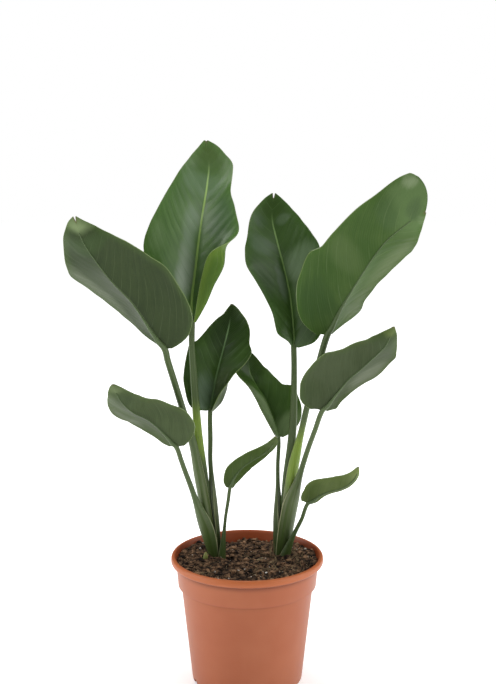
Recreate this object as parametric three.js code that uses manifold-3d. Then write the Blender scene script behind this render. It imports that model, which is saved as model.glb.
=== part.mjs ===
// A potted bird of paradise: two young plants, five leaves each, in one round nursery pot.
//
// Millimetres, +Z up. The origin is the centre of the pot's underside. +X runs to the right and
// +Y to the back, as seen from the side that the broad leaves' undersides face.
//
// Each leaf grew as one piece, so its sheath, stalk, midrib and blade are one solid. The sheaths
// clasp each other at the foot of each plant, the older ones outside the younger ones.
import * as THREE from "three";
import { mergeVertices } from "three/addons/utils/BufferGeometryUtils.js";
import Module from "manifold-3d";

const { clamp, degToRad, lerp, smoothstep } = THREE.MathUtils;
const wasm = await Module();
wasm.setup();

// Pot
const POT_HEIGHT = 145.6;
const RIM_RADIUS = 85;
const COLLAR_TOP_RADIUS = 79.2;
const COLLAR_TOP_HEIGHT = 136.4;
const COLLAR_FOOT_RADIUS = 77.1;
const WALL_TOP_RADIUS = 73.6;
const WALL_TOP_HEIGHT = 111.3;
const STEP_OUTSIDE = 0.5;
const STEP_INSIDE = 0.8;
const BASE_RADIUS = 62;
const BASE_ROUNDING = 3;
const FLOOR_INSET = 3.2;
const WALL = 1.7;
const POT_SIDES = 48;
const NOTCHES = 6;
const NOTCH_RADIUS = 5;
const NOTCH_DISTANCE = 58.5;
const NOTCH_HEIGHT = 5;
const NOTCH_AZIMUTH = degToRad(200.6);
// Bends of the foot: how far inside the base's radius, and how high
const FOOT_BENDS = [[2.5, 0], [0.5, 1.1], [0, BASE_ROUNDING]];
// Bends of the rolled rim: how far inside the rim's radius, and how far below its top
const RIM_BENDS = [[4, 9.1], [1.4, 8.3], [0, 5.6], [0.4, 1.9], [2, 0], [4, 0.4], [5, 2.2]];

// Soil
const SOIL_AT_WALL = 140;
const SOIL_HOLLOW = 1.5;
const SOIL_RELIEF = 1.1;
const SOIL_DIP_AT_BACK = 6.3;
const SOIL_DIP_WITHIN = 25;
const SOIL_DIP_ENDS = 60;
const SOIL_CLEARANCE = 0.45;
const SOIL_RINGS = [0.9, 0.77, 0.63, 0.48, 0.32, 0.16];

// Leaves
const GAP = 0.35;
const ROOT_HEIGHT = 112;
const SOIL_LINE = 142;
const ROOT_CLEARANCE = 0.4;
const SHEATH_SPACING = 12;
const SHEATHS_TOP = 292;
const STALK_SPACING = 24;
const FOOT_MARGIN = 6;
const DIRECTION_REACH = 3;
const LIP = 0.8;
const LIP_SPREAD = degToRad(30);
const LIP_THINS_FROM = 0.4;
const LIP_THINNING = 0.9;
const BLEND_BELOW = 45;
const BLEND_ABOVE = 6;
const GIRTH_BLEND = 10;
const STALK_LIP = degToRad(125);
const GROOVE = 0.22;
const MIDRIB_TIP = 0.8;
const MIDRIB_SLIM = 0.45;
const MIDRIB_END = 0.9;
const MIDRIB_CREST = 0.25;
const MIDRIB_SINKS = 0.08;
const BLADE_THICKNESS = 1;
const BLADE_ARCH = degToRad(32);
const CREASE_FADES_FROM = 0.5;
const CREASE_FADES_BY = 0.9;
const TIP_CUP = degToRad(30);
const TIP_BULGE = 0.9;
const TIP_BULGES_FROM = 0.85;
const VEIN_SWEEP = 0.35;
const VEIN_CURVE = 1.5;
const SWEEP_FULL_AT = 0.35;
const BASE_LOBE = 0.1;
const LOBE_ENDS_AT = 0.22;
const WAVES_FROM = 0.08;
const WAVES_TO = 0.9;
const WIDTHS_AT = [0, 0.05, 0.12, 0.2, 0.3, 0.4, 0.5, 0.6, 0.7, 0.8, 0.88, 0.95, 1];
const BLADE_ROWS = [0, 0.04, 0.09, 0.15, 0.22, 0.3, 0.4, 0.5, 0.6, 0.7, 0.8, 0.88, 0.95, 1];
const FLAT_COLUMNS = [0.3, 0.6, 0.84, 1];
const ROLLED_COLUMNS = [0.25, 0.45, 0.62, 0.77, 0.9, 1];
const ROLL_WIDTH = 0.32;
const SPINE_SAMPLES = 40;
const ARC_STEPS = 6;
const SECTION_SIDES = 6;

// New shoot that breaks the soil beside the left plant
const SHOOT_PLACE = [-47, -1];
const SHOOT_RADIUS = 3.5;
const SHOOT_FOOT = 122;
const SHOOT_TOP = 148.5;
const SHOOT_FLATNESS = 0.8;
const SHOOT_SIDES = 14;
// Parts of its radius, and how far below its top
const SHOOT_BENDS = [[1, 11.5], [0.85, 7.5], [0.52, 3.1], [0.2, 0.5]];

const CUTTER_SIDES = 24;
const CUTTER_MARGIN = 1;
const CUTTER_TOP = 160;

const POT_PLASTIC = { color: 0xae6545, roughness: 0.5, metalness: 0 };
const POTTING_SOIL = { color: 0x3c2d22, roughness: 0.95, metalness: 0 };
const LEAF = { color: 0x4a6a3c, roughness: 0.4, metalness: 0 };
const YOUNG_SHOOT = { color: 0x9aa94e, roughness: 0.45, metalness: 0 };

// Each plant is listed from its youngest, innermost leaf outwards.
//   stem   points up the sheath and stalk: x, y, z and half thickness
//   rib    points along the midrib from the foot of the blade to its tip
//   faces  where the upper side faces at the root, at the foot of the blade and at its tip
//   left   half widths of the blade at WIDTHS_AT, left of the midrib as seen on the upper side
//   right  the same, right of the midrib
//   folds  how far each half is folded up, in degrees at the foot and at the tip
//   waves  height, number and phase of the waves along each margin
//   roll   of the right margin: full up to, and gone by, parts of the blade's length; where across
//          the blade it starts; degrees
//   clasp  height where the sheath ends, and half the angle that it wraps at the soil
//   lobe   how far the blade's base reaches down past its foot, as part of its half width
const LEFT_PLANT = [
  {
    name: "left_tall_leaf",
    stem: [[-35, 14, 138, 2.8], [-44, 14.5, 204, 3.8], [-50, 14, 249, 4.4], [-53.5, 13.5, 274, 4.7],
      [-57, 13, 320, 4.2], [-59, 12.5, 354, 3.8], [-60.5, 12, 382, 3.3]],
    rib: [[-60, 12, 409], [-60, 12, 432], [-55, 13, 474], [-49, 16, 519], [-43, 23, 556],
      [-41, 31, 579], [-44, 42, 601]],
    faces: [[0, -1, 0.2], [0.05, -0.95, 0.3], [0, -0.9, 0.45]],
    left: [8, 23, 40, 52, 61, 57, 50, 43, 36, 28, 20, 10, 3],
    right: [8, 19, 33, 44, 59, 50, 43, 35, 27, 27, 18, 10, 2],
    folds: { left: [18, 12], right: [25, 15] },
    waves: { left: [1, 2.5, 0], right: [1, 2.5, 0.3] },
    roll: [0.25, 0.5, 0.48, 165],
  },
  {
    name: "left_broad_leaf",
    stem: [[-38, 11, 139, 1.2], [-45.8, 9.5, 182, 2.8], [-53.2, 8, 230, 3.9], [-58.5, 7, 265, 4.4],
      [-63, 3, 286, 4.3], [-70, -4, 313, 3.7], [-79, -13, 348, 3.6], [-85.5, -20, 373, 3.5]],
    rib: [[-88, -25, 386], [-103, -33, 411], [-121, -42, 440], [-140, -51, 463], [-155, -59, 485],
      [-169, -66, 510], [-176, -74, 535]],
    faces: [[0.72, 0.69, 0], [0.45, 0.8, 0.45], [0.25, 0.85, 0.45]],
    left: [8, 34, 50, 55, 57, 55, 50, 44, 37, 29, 20, 9, 2],
    right: [12, 32, 42, 47, 52, 53, 56, 48, 39, 28, 18, 10, 2],
    folds: { left: [20, 16], right: [30, 0] },
    waves: { left: [1, 2, 0.2], right: [1.2, 3, 0] },
    clasp: [279, 100],
  },
  {
    name: "left_inner_leaf",
    stem: [[-30.5, 17, 137, 1.1], [-34, 17.5, 180, 1.8], [-38.7, 17.5, 224, 2.2],
      [-41, 18.5, 247, 2.6], [-41, 22, 272, 2.7]],
    rib: [[-41, 28, 305], [-37, 32, 329], [-32, 35, 351], [-26, 40, 373], [-20, 47, 397],
      [-17, 55, 419]],
    faces: [[-0.8, -0.6, 0], [0.1, -0.95, 0.4], [-0.1, -0.9, 0.5]],
    left: [5, 24, 33, 39, 40, 40, 32, 26, 21, 15, 8, 4, 1],
    right: [8, 18, 30, 33, 28, 32, 35, 29, 26, 20, 13, 7, 1],
    folds: { left: [25, 15], right: [25, 15] },
    waves: { left: [1, 2, 0.4], right: [1, 2.5, 0] },
    roll: [0.05, 0.5, 0.36, 120],
    clasp: [242, 90],
    lobe: 0.25,
  },
  {
    name: "left_low_leaf",
    stem: [[-41.5, 10, 140, 1.2], [-47.5, 5, 170, 2.7], [-54, 0, 197, 3.2], [-60.8, -4, 222, 3.1],
      [-68.8, -9.5, 247, 2.8], [-72.6, -13, 260, 2.7]],
    rib: [[-77, -18, 275], [-91, -25, 294], [-107, -32, 310], [-122, -39, 320], [-134, -46, 334],
      [-142, -53, 354]],
    faces: [[0.85, 0.53, 0], [0.45, 0.8, 0.45], [0.3, 0.8, 0.5]],
    left: [9, 22, 35, 39, 35, 31, 26, 24, 23, 18, 12, 6, 1],
    right: [13, 17, 22, 34, 39, 35, 37, 33, 25, 16, 11, 6, 1],
    folds: { left: [20, 16], right: [14, 14] },
    waves: { left: [1, 2, 0.1], right: [1, 2.5, 0.6] },
    clasp: [215, 85],
  },
  {
    name: "left_curled_leaf",
    stem: [[-26.5, 7.5, 141, 1.5], [-26, 7, 160, 1.8], [-24.5, 5, 184, 1.8], [-21, 2.5, 208, 2]],
    rib: [[-19, 0, 223], [-15, -2, 235], [-5, -5, 248], [6, -8, 257], [17, -11, 265], [26, -13, 274],
      [31, -15, 286]],
    faces: [[-0.8, 0.6, 0], [-0.55, 0.7, 0.5], [-0.4, 0.7, 0.6]],
    left: [4, 6, 10, 12, 12, 10, 10, 10, 9, 9, 7, 4, 1],
    right: [4, 8, 11, 14, 13, 12, 12, 12, 11, 9, 6, 3, 1],
    folds: { left: [-10, 0], right: [40, 30] },
    waves: { left: [0.6, 2, 0], right: [0.6, 2, 0.5] },
    clasp: [174, 38],
  },
];

const RIGHT_PLANT = [
  {
    name: "right_tall_leaf",
    stem: [[38, 22, 135, 2.8], [40.5, 22, 178, 3.4], [43.5, 21.5, 225, 4.1], [48.2, 21, 260, 4.6],
      [50.7, 20.5, 289, 4.4], [51.6, 19.5, 330, 3.5], [51.6, 18.5, 358, 3.2]],
    rib: [[51, 18, 379], [50, 18, 400], [46, 19, 437], [39, 22, 469], [32, 26, 496], [27, 32, 519],
      [29, 42, 544]],
    faces: [[0, -1, 0.2], [0.05, -0.95, 0.3], [0, -0.9, 0.45]],
    left: [3, 10, 27, 29, 36, 42, 47, 41, 32, 24, 16, 9, 2],
    right: [6, 25, 36, 42, 45, 45, 45, 40, 33, 28, 20, 10, 2],
    folds: { left: [48, 10], right: [25, 15] },
    waves: { left: [1, 2.5, 0.2], right: [1, 2, 0.5] },
  },
  {
    name: "right_broad_leaf",
    stem: [[41.5, 19, 136, 1.2], [46, 17.5, 180, 2.7], [50.5, 15.5, 227, 3.5], [56, 12.5, 263, 3.4],
      [61.5, 9, 293, 3.5], [67.5, 5, 322, 3.4], [76, -3, 358, 3.6]],
    rib: [[86, -14, 399], [97, -22, 426], [111, -30, 452], [131, -40, 487], [145, -47, 507],
      [158, -54, 520], [170, -57, 530], [183, -60, 538]],
    faces: [[-0.75, 0.66, 0], [-0.45, 0.85, 0.4], [-0.1, 0.9, 0.3]],
    left: [11, 28, 47, 38, 35, 38, 40, 40, 34, 27, 19, 9, 1],
    right: [12, 29, 46, 59, 62, 53, 51, 49, 47, 45, 46, 45, 37],
    folds: { left: [28, 4], right: [20, 10] },
    waves: { left: [0.8, 2, 0.3], right: [0.8, 2, 0.4] },
    clasp: [285, 105],
    lobe: 0.15,
  },
  {
    name: "right_inner_leaf",
    stem: [[32, 25, 134, 1.6], [32.4, 26, 177, 2.2], [34.2, 26.5, 212, 2.4], [34.3, 28.5, 241, 2.2]],
    rib: [[35, 34, 272], [29.5, 40, 290], [24.5, 43, 303], [19.5, 46, 314], [11, 49, 326],
      [3, 54, 341], [2, 61, 364]],
    faces: [[0.8, -0.6, 0], [0.3, -0.85, 0.4], [0.4, -0.8, 0.5]],
    left: [4, 13, 20, 23, 27, 25, 21, 19, 24, 18, 12, 6, 1],
    right: [5, 16, 31, 36, 35, 24, 23, 22, 20, 15, 10, 5, 1],
    folds: { left: [50, 32], right: [25, 20] },
    waves: { left: [0.8, 2, 0], right: [0.8, 2, 0.5] },
    clasp: [220, 90],
    lobe: 0.2,
  },
  {
    name: "right_side_leaf",
    stem: [[44.5, 17.5, 137, 1.2], [49, 13.5, 181, 2.5], [53.7, 9.5, 212, 3], [59.6, 4, 241, 3.1],
      [66.3, -5, 268, 2.9], [73.6, -15, 293, 2.8]],
    rib: [[81, -25, 318], [89, -29, 330], [99, -34, 344], [109, -38, 357], [120, -43, 368],
      [132, -48, 381], [144, -54, 395], [150, -58, 408], [153, -61, 418]],
    faces: [[-0.8, 0.6, 0], [-0.5, 0.8, 0.4], [-0.4, 0.8, 0.6]],
    left: [8, 20, 17, 20, 27, 33, 34, 34, 26, 17, 11, 5, 1],
    right: [13, 30, 40, 45, 44, 37, 30, 28, 25, 20, 12, 6, 1],
    folds: { left: [5, 5], right: [26, 22] },
    waves: { left: [0.8, 2, 0.3], right: [0.8, 2.5, 0] },
    clasp: [242, 95],
    lobe: 0.15,
  },
  {
    name: "right_small_leaf",
    stem: [[44.5, 10.5, 140, 1.6], [48.8, 8.5, 156, 2], [54.6, 5.5, 172, 2.3], [60.6, 2, 186, 2.2]],
    rib: [[67, -4, 206], [74, -7, 212], [81, -10, 218], [91, -13, 223], [102, -16, 227],
      [111, -19, 233], [118, -21, 242], [121, -24, 254]],
    faces: [[-0.43, 0.9, 0], [-0.4, 0.8, 0.5], [-0.3, 0.8, 0.6]],
    left: [7, 10, 9, 8, 7, 7, 7, 6, 5, 5, 4, 2, 1],
    right: [8, 13, 17, 20, 18, 17, 17, 16, 14, 12, 8, 4, 1],
    folds: { left: [8, 10], right: [35, 25] },
    waves: { left: [0.6, 2, 0.4], right: [0.6, 2, 0] },
    clasp: [169, 48],
  },
];

/** Cubic through the stations that doesn't overshoot them, at x. */
function through(xs, ys, x) {
  const last = xs.length - 1;
  const at = clamp(x, xs[0], xs[last]);
  const next = Math.max(1, xs.findIndex((station) => station >= at));
  const rise = (j) => (ys[j] - ys[j - 1]) / (xs[j] - xs[j - 1]);
  const slope = (j) => {
    if (j === 0) return rise(1);
    if (j === last) return rise(last);
    const [before, after] = [rise(j), rise(j + 1)];
    return before * after <= 0 ? 0 : (2 * before * after) / (before + after);
  };
  const width = xs[next] - xs[next - 1];
  const t = (at - xs[next - 1]) / width;
  const start = ys[next - 1] * (1 + 2 * t) + slope(next - 1) * width * t;
  const end = ys[next] * (3 - 2 * t) + slope(next) * width * (t - 1);
  return start * (1 - t) ** 2 + end * t * t;
}

/** Solid from a closed three.js geometry or from loose points and triangles. */
function solid(geometry) {
  geometry.deleteAttribute("normal");
  geometry.deleteAttribute("uv");
  const joined = mergeVertices(geometry, 1e-4);
  const mesh = new wasm.Mesh({
    numProp: 3,
    vertProperties: new Float32Array(joined.attributes.position.array),
    triVerts: new Uint32Array(joined.index.array),
  });
  return new wasm.Manifold(mesh);
}

function geometryOf(points, triangles) {
  const geometry = new THREE.BufferGeometry().setFromPoints(points);
  geometry.setIndex(triangles);
  return geometry;
}

function named(name, body, look) {
  const { vertProperties, triVerts } = body.getMesh();
  const geometry = new THREE.BufferGeometry();
  geometry.setAttribute("position", new THREE.BufferAttribute(vertProperties, 3));
  geometry.setIndex(new THREE.BufferAttribute(triVerts, 1));
  geometry.computeVertexNormals();
  const mesh = new THREE.Mesh(geometry, new THREE.MeshStandardMaterial(look));
  mesh.name = name;
  return mesh;
}

function turned(profile) {
  const points = profile.map(([radius, height]) => new THREE.Vector2(radius, height));
  return solid(new THREE.LatheGeometry(points, POT_SIDES).rotateX(Math.PI / 2));
}

/** Upright cylinder round (x, y) between two heights. */
function post(x, y, radius, bottom, top) {
  const cylinder = new THREE.CylinderGeometry(radius, radius, top - bottom, CUTTER_SIDES);
  return solid(cylinder.rotateX(Math.PI / 2).translate(x, y, (bottom + top) / 2));
}

class Leaf {
  constructor(spec, inner) {
    Object.assign(this, spec);
    this.inner = inner;
    const points = [...spec.stem, ...spec.rib].map(([x, y, z]) => new THREE.Vector3(x, y, z));
    this.curve = new THREE.CatmullRomCurve3(points, false, "centripetal");
    this.curve.arcLengthDivisions = SPINE_SAMPLES * (points.length - 1);
    const lengths = this.curve.getLengths();
    this.length = lengths[lengths.length - 1];
    this.foot = lengths[SPINE_SAMPLES * spec.stem.length];
    this.blade = this.length - this.foot;
    this.heights = spec.stem.map((point) => point[2]);
    this.halves = spec.stem.map((point) => point[3]);
    this.ways = spec.faces.map((way) => new THREE.Vector3(...way).normalize());
    this.tipWay = points.at(-1).clone().sub(points.at(-2)).normalize();
    this.root = ROOT_HEIGHT - this.heights[0] - this.foot;
  }

  /** Point on the spine, a beyond the blade's foot. Straight down below its root, on past its tip. */
  at(a) {
    const along = this.foot + a;
    if (along < 0) return this.curve.getPoint(0).add(new THREE.Vector3(0, 0, along));
    const point = this.curve.getPointAt(Math.min(along / this.length, 1));
    return point.addScaledVector(this.tipWay, Math.max(along - this.length, 0));
  }

  /** Direction along the spine, direction that the upper side faces, and direction to its right. */
  frame(a) {
    const along = this.at(a + DIRECTION_REACH).sub(this.at(a - DIRECTION_REACH)).normalize();
    const [root, foot, tip] = this.ways;
    const up = a < 0
      ? root.clone().lerp(foot, smoothstep(1 + a / this.foot, 0, 1))
      : foot.clone().lerp(tip, clamp(a / this.blade, 0, 1));
    up.addScaledVector(along, -up.dot(along)).normalize();
    return { along, up, right: along.clone().cross(up) };
  }

  /** Distance from the foot of the blade, at height z on the stem. */
  distanceAt(z) {
    let [low, high] = [this.root, 0];
    while (high - low > 0.01) {
      const middle = (low + high) / 2;
      if (this.at(middle).z < z) low = middle;
      else high = middle;
    }
    return low;
  }

  /** The sheath at height z: the circle it clasps, which way its keel lies, and how far it wraps. */
  sheath(z) {
    const inside = this.inner.girth(z);
    const centre = this.at(this.distanceAt(z));
    const keel = new THREE.Vector2(centre.x, centre.y).sub(inside.centre);
    const half = through(this.heights, this.halves, z);
    const [top, wrapAtSoil] = this.clasp;
    const low = clamp((top - z) / (top - this.heights[0]), 0, 1);
    const wrap = lerp(LIP_SPREAD, degToRad(wrapAtSoil), low);
    const clear = (inside.radius + GAP) / Math.cos(wrap / SECTION_SIDES);
    const reach = Math.max(keel.length() + half, clear + 2 * LIP);
    return { inside, keel: keel.normalize(), half, wrap, clear, reach };
  }

  /** Circle round this leaf and the leaves inside it, at height z. */
  girth(z) {
    if (!this.inner) {
      const centre = this.at(this.distanceAt(z));
      const radius = through(this.heights, this.halves, z);
      return { centre: new THREE.Vector2(centre.x, centre.y), radius };
    }
    const { inside, keel, clear, reach } = this.sheath(z);
    const radius = (reach + clear + LIP) / 2;
    const centre = inside.centre.clone().addScaledVector(keel, reach - radius);
    const free = smoothstep(z, this.clasp[0] - GIRTH_BLEND, this.clasp[0] + GIRTH_BLEND);
    return { centre: centre.lerp(inside.centre, free), radius: lerp(radius, inside.radius, free) };
  }

  /** Level section of the sheath at height z: its outside from lip to lip, then its inside back. */
  sheathSection(z) {
    const { inside, keel, half, wrap, clear, reach } = this.sheath(z);
    const keelThickness = Math.min(reach - clear, 2 * half);
    const point = (angle, outside) => {
      const thinned = LIP_THINNING * smoothstep(Math.abs(angle) / wrap, LIP_THINS_FROM, 1);
      const nearKeel = ((1 + Math.cos(angle)) / 2) * (1 - thinned);
      const thickness = lerp(LIP, Math.max(keelThickness, LIP), nearKeel);
      const inner = clear + (reach - clear - keelThickness) * nearKeel;
      const arm = keel.clone().rotateAround(new THREE.Vector2(), angle);
      const spot = inside.centre.clone().addScaledVector(arm, inner + (outside ? thickness : 0));
      return new THREE.Vector3(spot.x, spot.y, z);
    };
    const angles = [];
    for (let i = 0; i <= SECTION_SIDES; i++) angles.push(wrap * ((2 * i) / SECTION_SIDES - 1));
    const outside = angles.map((angle) => point(angle, true));
    return [...outside, ...angles.reverse().map((angle) => point(angle, false))];
  }

  /** Section square to the spine: a stalk grooved above, which turns into the rib under the blade. */
  stalkSection(a) {
    const { along, up } = this.frame(a);
    const s = Math.max(a, 0) / this.blade;
    const stalk = through(this.heights, this.halves, this.at(Math.min(a, 0)).z);
    const half = lerp(MIDRIB_TIP, stalk, Math.max(1 - s / MIDRIB_SLIM, 0) ** 2);
    const sunk = smoothstep(s, 0, MIDRIB_SINKS);
    const centre = this.at(a).addScaledVector(up, -(half - MIDRIB_CREST) * sunk);
    const keel = up.clone().negate();
    const aside = along.clone().cross(keel);
    const point = (angle, radius) => centre.clone()
      .addScaledVector(keel, radius * Math.cos(angle))
      .addScaledVector(aside, radius * Math.sin(angle));
    const points = [];
    for (let i = 0; i <= SECTION_SIDES; i++) {
      points.push(point(STALK_LIP * ((2 * i) / SECTION_SIDES - 1), half));
    }
    for (let i = 0; i <= SECTION_SIDES; i++) {
      const across = (i + 0.5) / (SECTION_SIDES + 1);
      const angle = STALK_LIP + 2 * (Math.PI - STALK_LIP) * across;
      const hollow = GROOVE * (1 - sunk) * Math.sin(Math.PI * across) ** 2;
      points.push(point(angle, half * (1 - hollow)));
    }
    return points;
  }

  /** Section of the axis: sheath below, stalk above, and between them a blend clear of inner leaves. */
  section(a) {
    const stalk = this.stalkSection(a);
    if (!this.clasp || a > 0) return stalk;
    const z = this.at(a).z;
    const free = smoothstep(z, this.clasp[0] - BLEND_BELOW, this.clasp[0] + BLEND_ABOVE);
    if (free === 1) return stalk;
    const { inside, clear } = this.sheath(z);
    return this.sheathSection(z).map((low, i) => {
      const point = low.lerp(stalk[i], free);
      const out = new THREE.Vector2(point.x, point.y).sub(inside.centre);
      const least = i <= SECTION_SIDES ? clear + LIP : clear;
      const spot = out.setLength(Math.max(out.length(), least)).add(inside.centre);
      return new THREE.Vector3(spot.x, spot.y, point.z);
    });
  }

  /** Distances of the sections: at heights that all stems share, then at the blade's rows. */
  stations() {
    const heights = [ROOT_HEIGHT];
    let z = SOIL_LINE;
    while (z < this.at(0).z - FOOT_MARGIN) {
      heights.push(z);
      z += z < SHEATHS_TOP ? SHEATH_SPACING : STALK_SPACING;
    }
    const onStem = heights.map((height) => this.distanceAt(height));
    const onRib = BLADE_ROWS.filter((s) => s <= MIDRIB_END).map((s) => s * this.blade);
    return [...onStem, ...onRib];
  }

  axis() {
    const sections = this.stations().map((a) => this.section(a));
    const count = 2 * (SECTION_SIDES + 1);
    const triangles = [];
    const quad = (a, b, c, d) => triangles.push(a, b, c, a, c, d);
    for (let i = 0; i + 1 < sections.length; i++) {
      for (let j = 0; j < count; j++) {
        const next = (j + 1) % count;
        const [a, b] = [i * count + j, i * count + next];
        if (j % (SECTION_SIDES + 1) < SECTION_SIDES / 2) quad(b, b + count, a + count, a);
        else quad(a, b, b + count, a + count);
      }
    }
    const top = (sections.length - 1) * count;
    for (let j = 0; j < SECTION_SIDES; j++) {
      const [a, b, c, d] = [j, j + 1, count - 2 - j, count - 1 - j];
      quad(a, d, c, b);
      quad(top + a, top + b, top + c, top + d);
    }
    return solid(geometryOf(sections.flat(), triangles));
  }

  /** Points of one vein from the midrib to the margin; side is 1 for the right half, -1 for the left. */
  vein(s, side) {
    const half = side > 0 ? "right" : "left";
    const rolled = side > 0 && this.roll;
    const width = through(WIDTHS_AT, this[half], s);
    const lobe = (this.lobe ?? BASE_LOBE) * (1 - smoothstep(s, 0, LOBE_ENDS_AT));
    const sweep = VEIN_SWEEP * smoothstep(s, 0, SWEEP_FULL_AT) - lobe;
    const fold = degToRad(lerp(...this.folds[half], s));
    const [waveHeight, waves, phase] = this.waves[half];
    const waving = smoothstep(s, 0, WAVES_FROM) * (1 - smoothstep(s, WAVES_TO, 1));
    const wave = waveHeight * waving * Math.sin(2 * Math.PI * (waves * s + phase));
    const cupped = smoothstep(s, CREASE_FADES_FROM, CREASE_FADES_BY);
    const bend = (v) => {
      const arched = lerp(fold + BLADE_ARCH * (0.5 - v), TIP_CUP * v, cupped);
      if (!rolled) return arched;
      const [full, gone, start, degrees] = this.roll;
      const turn = smoothstep(v, start, start + ROLL_WIDTH) * (1 - smoothstep(s, full, gone));
      return arched + degToRad(degrees) * turn;
    };
    const bulge = TIP_BULGE * smoothstep(s, TIP_BULGES_FROM, 1);
    let [across, above, last] = [0, 0, 0];
    return (rolled ? ROLLED_COLUMNS : FLAT_COLUMNS).map((v) => {
      const step = (v - last) / ARC_STEPS;
      for (let i = 0; i < ARC_STEPS; i++) {
        const angle = bend(last + step * (i + 0.5));
        across += width * step * Math.cos(angle);
        above += width * step * Math.sin(angle);
      }
      last = v;
      const a = s * this.blade + width * (sweep * v ** VEIN_CURVE + bulge * v * (1 - v));
      const { up, right } = this.frame(a);
      return this.at(a)
        .addScaledVector(right, side * across)
        .addScaledVector(up, above + wave * v * v);
    });
  }

  lamina() {
    const rows = BLADE_ROWS.map((s) => [
      ...this.vein(s, -1).reverse(), this.at(s * this.blade), ...this.vein(s, 1),
    ]);
    const [last, columns] = [rows.length - 1, rows[0].length];
    const offset = (i, j) => {
      const across = rows[i][Math.min(j + 1, columns - 1)].clone().sub(rows[i][Math.max(j - 1, 0)]);
      const along = rows[Math.min(i + 1, last)][j].clone().sub(rows[Math.max(i - 1, 0)][j]);
      return across.cross(along).setLength(BLADE_THICKNESS / 2);
    };
    const points = [];
    for (const side of [1, -1]) {
      rows.forEach((row, i) => row.forEach((point, j) => {
        points.push(point.clone().addScaledVector(offset(i, j), side));
      }));
    }
    const under = rows.length * columns;
    const index = (i, j) => i * columns + j;
    const triangles = [];
    for (let i = 0; i < last; i++) {
      for (let j = 0; j + 1 < columns; j++) {
        const [a, b, c, d] = [index(i, j), index(i, j + 1), index(i + 1, j + 1), index(i + 1, j)];
        const split = j < columns / 2 - 1 ? [a, b, c, a, c, d] : [a, b, d, b, c, d];
        triangles.push(...split, ...split.map((k) => k + under).reverse());
      }
    }
    const edge = [];
    for (let j = 0; j < columns - 1; j++) edge.push(index(0, j));
    for (let i = 0; i < last; i++) edge.push(index(i, columns - 1));
    for (let j = columns - 1; j > 0; j--) edge.push(index(last, j));
    for (let i = last; i > 0; i--) edge.push(index(i, 0));
    edge.forEach((p, k) => {
      const q = edge[(k + 1) % edge.length];
      triangles.push(p, p + under, q + under, p, q + under, q);
    });
    return solid(geometryOf(points, triangles));
  }

  body() {
    return this.axis().add(this.lamina());
  }
}

function grow(plant) {
  const leaves = [];
  for (const spec of plant) leaves.push(new Leaf(spec, leaves.at(-1)));
  return leaves;
}

/** The pot, turned from its foot up the outside, over the rim and down the inside, then notched. */
function pot() {
  let body = turned([
    [0, 0],
    ...FOOT_BENDS.map(([inset, height]) => [BASE_RADIUS - inset, height]),
    [WALL_TOP_RADIUS, WALL_TOP_HEIGHT],
    [COLLAR_FOOT_RADIUS, WALL_TOP_HEIGHT + STEP_OUTSIDE],
    [COLLAR_TOP_RADIUS, COLLAR_TOP_HEIGHT],
    ...RIM_BENDS.map(([inset, drop]) => [RIM_RADIUS - inset, POT_HEIGHT - drop]),
    [COLLAR_TOP_RADIUS - WALL, COLLAR_TOP_HEIGHT],
    [COLLAR_FOOT_RADIUS - WALL, WALL_TOP_HEIGHT + 2 * STEP_INSIDE],
    [WALL_TOP_RADIUS - WALL, WALL_TOP_HEIGHT + STEP_INSIDE],
    [BASE_RADIUS - WALL, BASE_ROUNDING],
    [BASE_RADIUS - FLOOR_INSET, WALL],
    [0, WALL],
  ]);
  for (let k = 0; k < NOTCHES; k++) {
    const azimuth = NOTCH_AZIMUTH + (2 * Math.PI * k) / NOTCHES;
    const [x, y] = [NOTCH_DISTANCE * Math.cos(azimuth), NOTCH_DISTANCE * Math.sin(azimuth)];
    body = body.subtract(post(x, y, NOTCH_RADIUS, -CUTTER_MARGIN, NOTCH_HEIGHT));
  }
  return body;
}

/** Height of the soil: uneven all over, a little lower in the middle and lowest at the back. */
function soilHeight(x, y) {
  const out = Math.hypot(x, y) / COLLAR_TOP_RADIUS;
  const back = (Math.max(y, 0) / COLLAR_TOP_RADIUS) ** 2;
  const dip = SOIL_DIP_AT_BACK * back * (1 - smoothstep(Math.abs(x), SOIL_DIP_WITHIN, SOIL_DIP_ENDS));
  const lumps = Math.sin(0.11 * x + 0.6) * Math.cos(0.09 * y - 0.4);
  const ridges = 0.7 * Math.sin(0.19 * y + 0.13 * x);
  const even = SOIL_AT_WALL - SOIL_HOLLOW * (1 - out ** 2) - dip;
  return even + SOIL_RELIEF * (lumps + ridges);
}

/** Radius of the soil's edge at height z, along the collar's slope. */
function soilRadius(z) {
  const part = (z - WALL_TOP_HEIGHT) / (COLLAR_TOP_HEIGHT - WALL_TOP_HEIGHT);
  return lerp(COLLAR_FOOT_RADIUS, COLLAR_TOP_RADIUS, part) - WALL - SOIL_CLEARANCE;
}

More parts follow.
